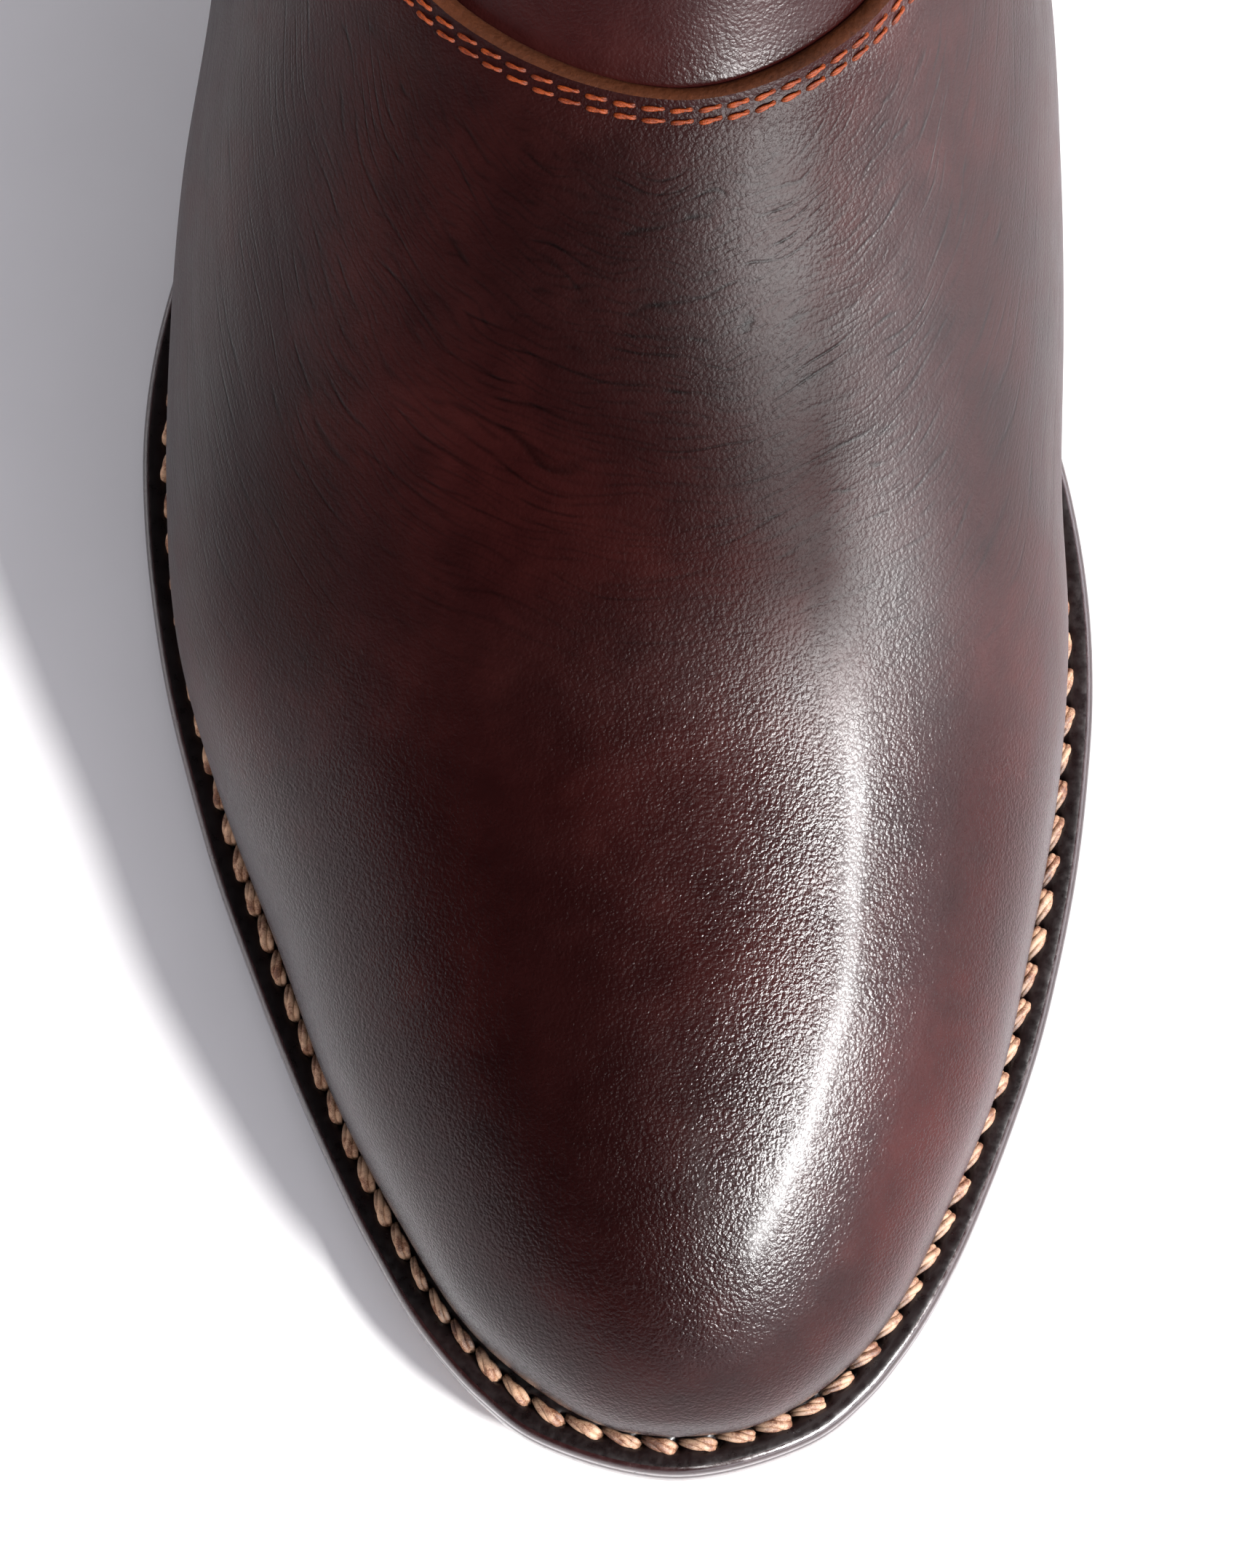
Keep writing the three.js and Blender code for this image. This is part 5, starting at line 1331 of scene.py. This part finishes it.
# ------------------------------------------------ pieces whose CAD shape stays
def cork():
    m, t, b = nt("cork_granules")
    tc = N(t, "ShaderNodeTexCoord").outputs["Object"]
    v = N(t, "ShaderNodeTexVoronoi"); v.inputs["Scale"].default_value = 420.0
    t.links.new(tc, v.inputs["Vector"])
    n1 = noise(t, tc, 800.0, 3.0, 0.6)
    k = math_node(t, "ADD", math_node(t, "MULTIPLY", v.outputs["Distance"], 0.7), math_node(t, "MULTIPLY", n1, 0.5))
    t.links.new(ramp(t, k, [(0.25, (0.42, 0.24, 0.12)), (0.8, (0.16, 0.08, 0.035))]), b.inputs["Base Color"])
    t.links.new(bump(t, k, 0.6, 0.0004), b.inputs["Normal"])
    t.links.new(ramp(t, n1, [(0.3, (0.8,) * 3), (0.7, (0.92,) * 3)]), b.inputs["Roughness"])
    return m
def metal(name, lo, hi, r, aniso=0.0):
    m, t, b = nt(name)
    tc = N(t, "ShaderNodeTexCoord").outputs["Object"]
    mp = N(t, "ShaderNodeMapping"); mp.inputs["Scale"].default_value = (1, 0.05, 1)
    t.links.new(tc, mp.inputs[0])
    n1 = noise(t, mp.outputs[0], 2600.0, 3.0, 0.6); n2 = noise(t, tc, 120.0, 3.0, 0.6)
    k = math_node(t, "ADD", math_node(t, "MULTIPLY", n1, 0.4), math_node(t, "MULTIPLY", n2, 0.6))
    t.links.new(ramp(t, k, [(0.3, lo), (0.7, hi)]), b.inputs["Base Color"])
    t.links.new(ramp(t, n2, [(0.3, (r - 0.08,) * 3), (0.7, (r + 0.1,) * 3)]), b.inputs["Roughness"])
    t.links.new(bump(t, n1, 0.3, 0.00008), b.inputs["Normal"])
    b.inputs["Metallic"].default_value = 1.0
    return m
INSOLE_M = plain_leather("insole_leather", (0.30, 0.17, 0.085), (0.47, 0.30, 0.17), 0.55, 0.7)
SOCK_M = plain_leather("sock_leather", (0.27, 0.145, 0.075), (0.43, 0.26, 0.15), 0.5, 0.8, bump_s=0.35)
BOARD = plain_leather("stiffener_board", (0.25, 0.17, 0.10), (0.40, 0.29, 0.19), 0.8, 1.2)
CLOTH = plain_leather("backer_cloth", (0.50, 0.44, 0.36), (0.64, 0.58, 0.49), 0.9, 3.0, bump_s=0.7)
CORK, STEEL, BRASS = cork(), metal("shank_spring_steel", (0.30, 0.31, 0.33), (0.48, 0.49, 0.51), 0.34), metal("nail_brass", (0.48, 0.30, 0.11), (0.72, 0.50, 0.22), 0.32)
KEEP = {"insole_board": INSOLE_M, "sock_liner": SOCK_M, "cork_filler": CORK, "steel_shank": STEEL, "toe_puff": BOARD, "heel_stiffener": BOARD, "vamp_backer": CLOTH, **{"heel_nail_%d" % k: BRASS for k in range(1, 6)}}
for nm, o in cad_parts.items():
    if o.hide_render:
        continue
    mt = KEEP.get(nm)
    if mt is None:
        print("NOTE node without a detailed look:", nm)
        mt = INSOLE_M
    o.data.materials.clear(); o.data.materials.append(mt)

# ------------------------------------------------------------------ studio
def floor_mat():
    m, t, b = nt("studio_floor")
    tc = N(t, "ShaderNodeTexCoord").outputs["Object"]
    n1 = noise(t, tc, 40.0, 3.0, 0.5)
    t.links.new(ramp(t, n1, [(0.3, (0.80, 0.79, 0.80)), (0.7, (0.83, 0.82, 0.83))]), b.inputs["Base Color"])
    b.inputs["Roughness"].default_value = 0.9
    b.inputs["Specular IOR Level"].default_value = 0.15
    return m
fm = bpy.data.meshes.new("studio_floor")
fm.from_pydata([(-4, -4, -0.0003), (4, -4, -0.0003), (4, 4, -0.0003), (-4, 4, -0.0003)], [], [(0, 1, 2, 3)])
fm.materials.append(floor_mat())
floor = bpy.data.objects.new("studio_floor", fm)
bpy.context.scene.collection.objects.link(floor)

w = bpy.data.worlds.new("studio"); bpy.context.scene.world = w
w.use_nodes = True
bg = w.node_tree.nodes["Background"]
wt = w.node_tree
wc = wt.nodes.new("ShaderNodeTexCoord"); ws = wt.nodes.new("ShaderNodeSeparateXYZ")
wt.links.new(wc.outputs["Generated"], ws.inputs[0])
wr = wt.nodes.new("ShaderNodeValToRGB")
_e = wr.color_ramp.elements
_e[0].position = 0.0; _e[0].color = (0.74, 0.725, 0.77, 1)
_e[1].position = 1.0; _e[1].color = (0.012, 0.012, 0.014, 1)
for _p, _c in ((0.14, (0.74, 0.725, 0.77)), (0.36, (0.36, 0.345, 0.37)), (0.52, (0.030, 0.028, 0.032))):
    _x = _e.new(_p); _x.color = (*_c, 1)
# the room is brighter on the window side
wm = wt.nodes.new("ShaderNodeMapRange"); wm.interpolation_type = "SMOOTHSTEP"
wm.inputs["From Min"].default_value = -0.35; wm.inputs["From Max"].default_value = 0.75
wm.inputs["To Min"].default_value = 0.40; wm.inputs["To Max"].default_value = 5.2
wt.links.new(ws.outputs["X"], wm.inputs["Value"])
wt.links.new(ws.outputs["Z"], wr.inputs[0]); wt.links.new(wr.outputs[0], bg.inputs[0])
# a pale band behind the horizon on every side
wz = wt.nodes.new("ShaderNodeMapRange"); wz.interpolation_type = "SMOOTHSTEP"
wz.inputs["From Min"].default_value = 0.17; wz.inputs["From Max"].default_value = 0.30
wz.inputs["To Min"].default_value = 0.78; wz.inputs["To Max"].default_value = 0.0
wt.links.new(ws.outputs["Z"], wz.inputs["Value"])
wa = wt.nodes.new("ShaderNodeMath"); wa.operation = "ADD"
wt.links.new(wm.outputs[0], wa.inputs[0]); wt.links.new(wz.outputs[0], wa.inputs[1])
wt.links.new(wa.outputs[0], bg.inputs[1])

def area(name, loc, target, size, size_y, power, color=(1, 1, 1)):
    l = bpy.data.lights.new(name, "AREA")
    l.shape = "RECTANGLE"; l.size = size; l.size_y = size_y; l.energy = power; l.color = color
    o = bpy.data.objects.new(name, l)
    o.location = loc
    o.rotation_euler = (Vector(target) - Vector(loc)).to_track_quat("-Z", "Y").to_euler()
    bpy.context.scene.collection.objects.link(o)
    return o
def along(az, el, dist, target):
    a, e = math.radians(az), math.radians(el)
    return tuple(Vector(target) + dist * Vector((math.cos(e) * math.cos(a), math.cos(e) * math.sin(a), math.sin(e))))
KT = (0.0, -0.07, 0.03)
sun = bpy.data.lights.new("key", "SUN")
sun.energy = 4.3; sun.angle = math.radians(6.5); sun.color = (1.0, 0.985, 0.97)
so_ = bpy.data.objects.new("key", sun)
so_.location = along(-34, 48, 1.7, KT)
so_.rotation_euler = (Vector(KT) - Vector(so_.location)).to_track_quat("-Z", "Y").to_euler()
bpy.context.scene.collection.objects.link(so_)
so_.visible_glossy = False
# softboxes that only show as reflections: a long one to the right, a weak one in front
s1 = area("strip_right", along(-37, 36, 1.6, KT), KT, 1.06, 0.12, 152.0, (1.0, 0.99, 0.985))
s1.visible_diffuse = False
s2 = area("strip_front", along(-77, 50, 1.6, KT), KT, 0.10, 0.55, 2.2, (1.0, 0.98, 0.97))
s2.visible_diffuse = False
sky = bpy.data.lights.new("overhead_fill", "SUN")
sky.energy = 1.70; sky.angle = math.radians(120); sky.color = (0.95, 0.94, 1.0)
o = bpy.data.objects.new("overhead_fill", sky)
bpy.context.scene.collection.objects.link(o)
o.visible_glossy = False

bpy.context.scene.view_settings.view_transform = "Standard"
bpy.context.scene.view_settings.look = "None"
bpy.context.scene.view_settings.exposure = 0.0

cam = bpy.data.cameras.new("photo_camera")
cam.lens = 155.89; cam.sensor_width = 36.0; cam.clip_start = 0.01; cam.clip_end = 50
cam.dof.use_dof = False
co = bpy.data.objects.new("photo_camera", cam)
co.location = (-0.000644, -0.23575, 0.7975)
co.rotation_euler = (math.radians(12), 0, 0)
bpy.context.scene.collection.objects.link(co)
bpy.context.scene.camera = co
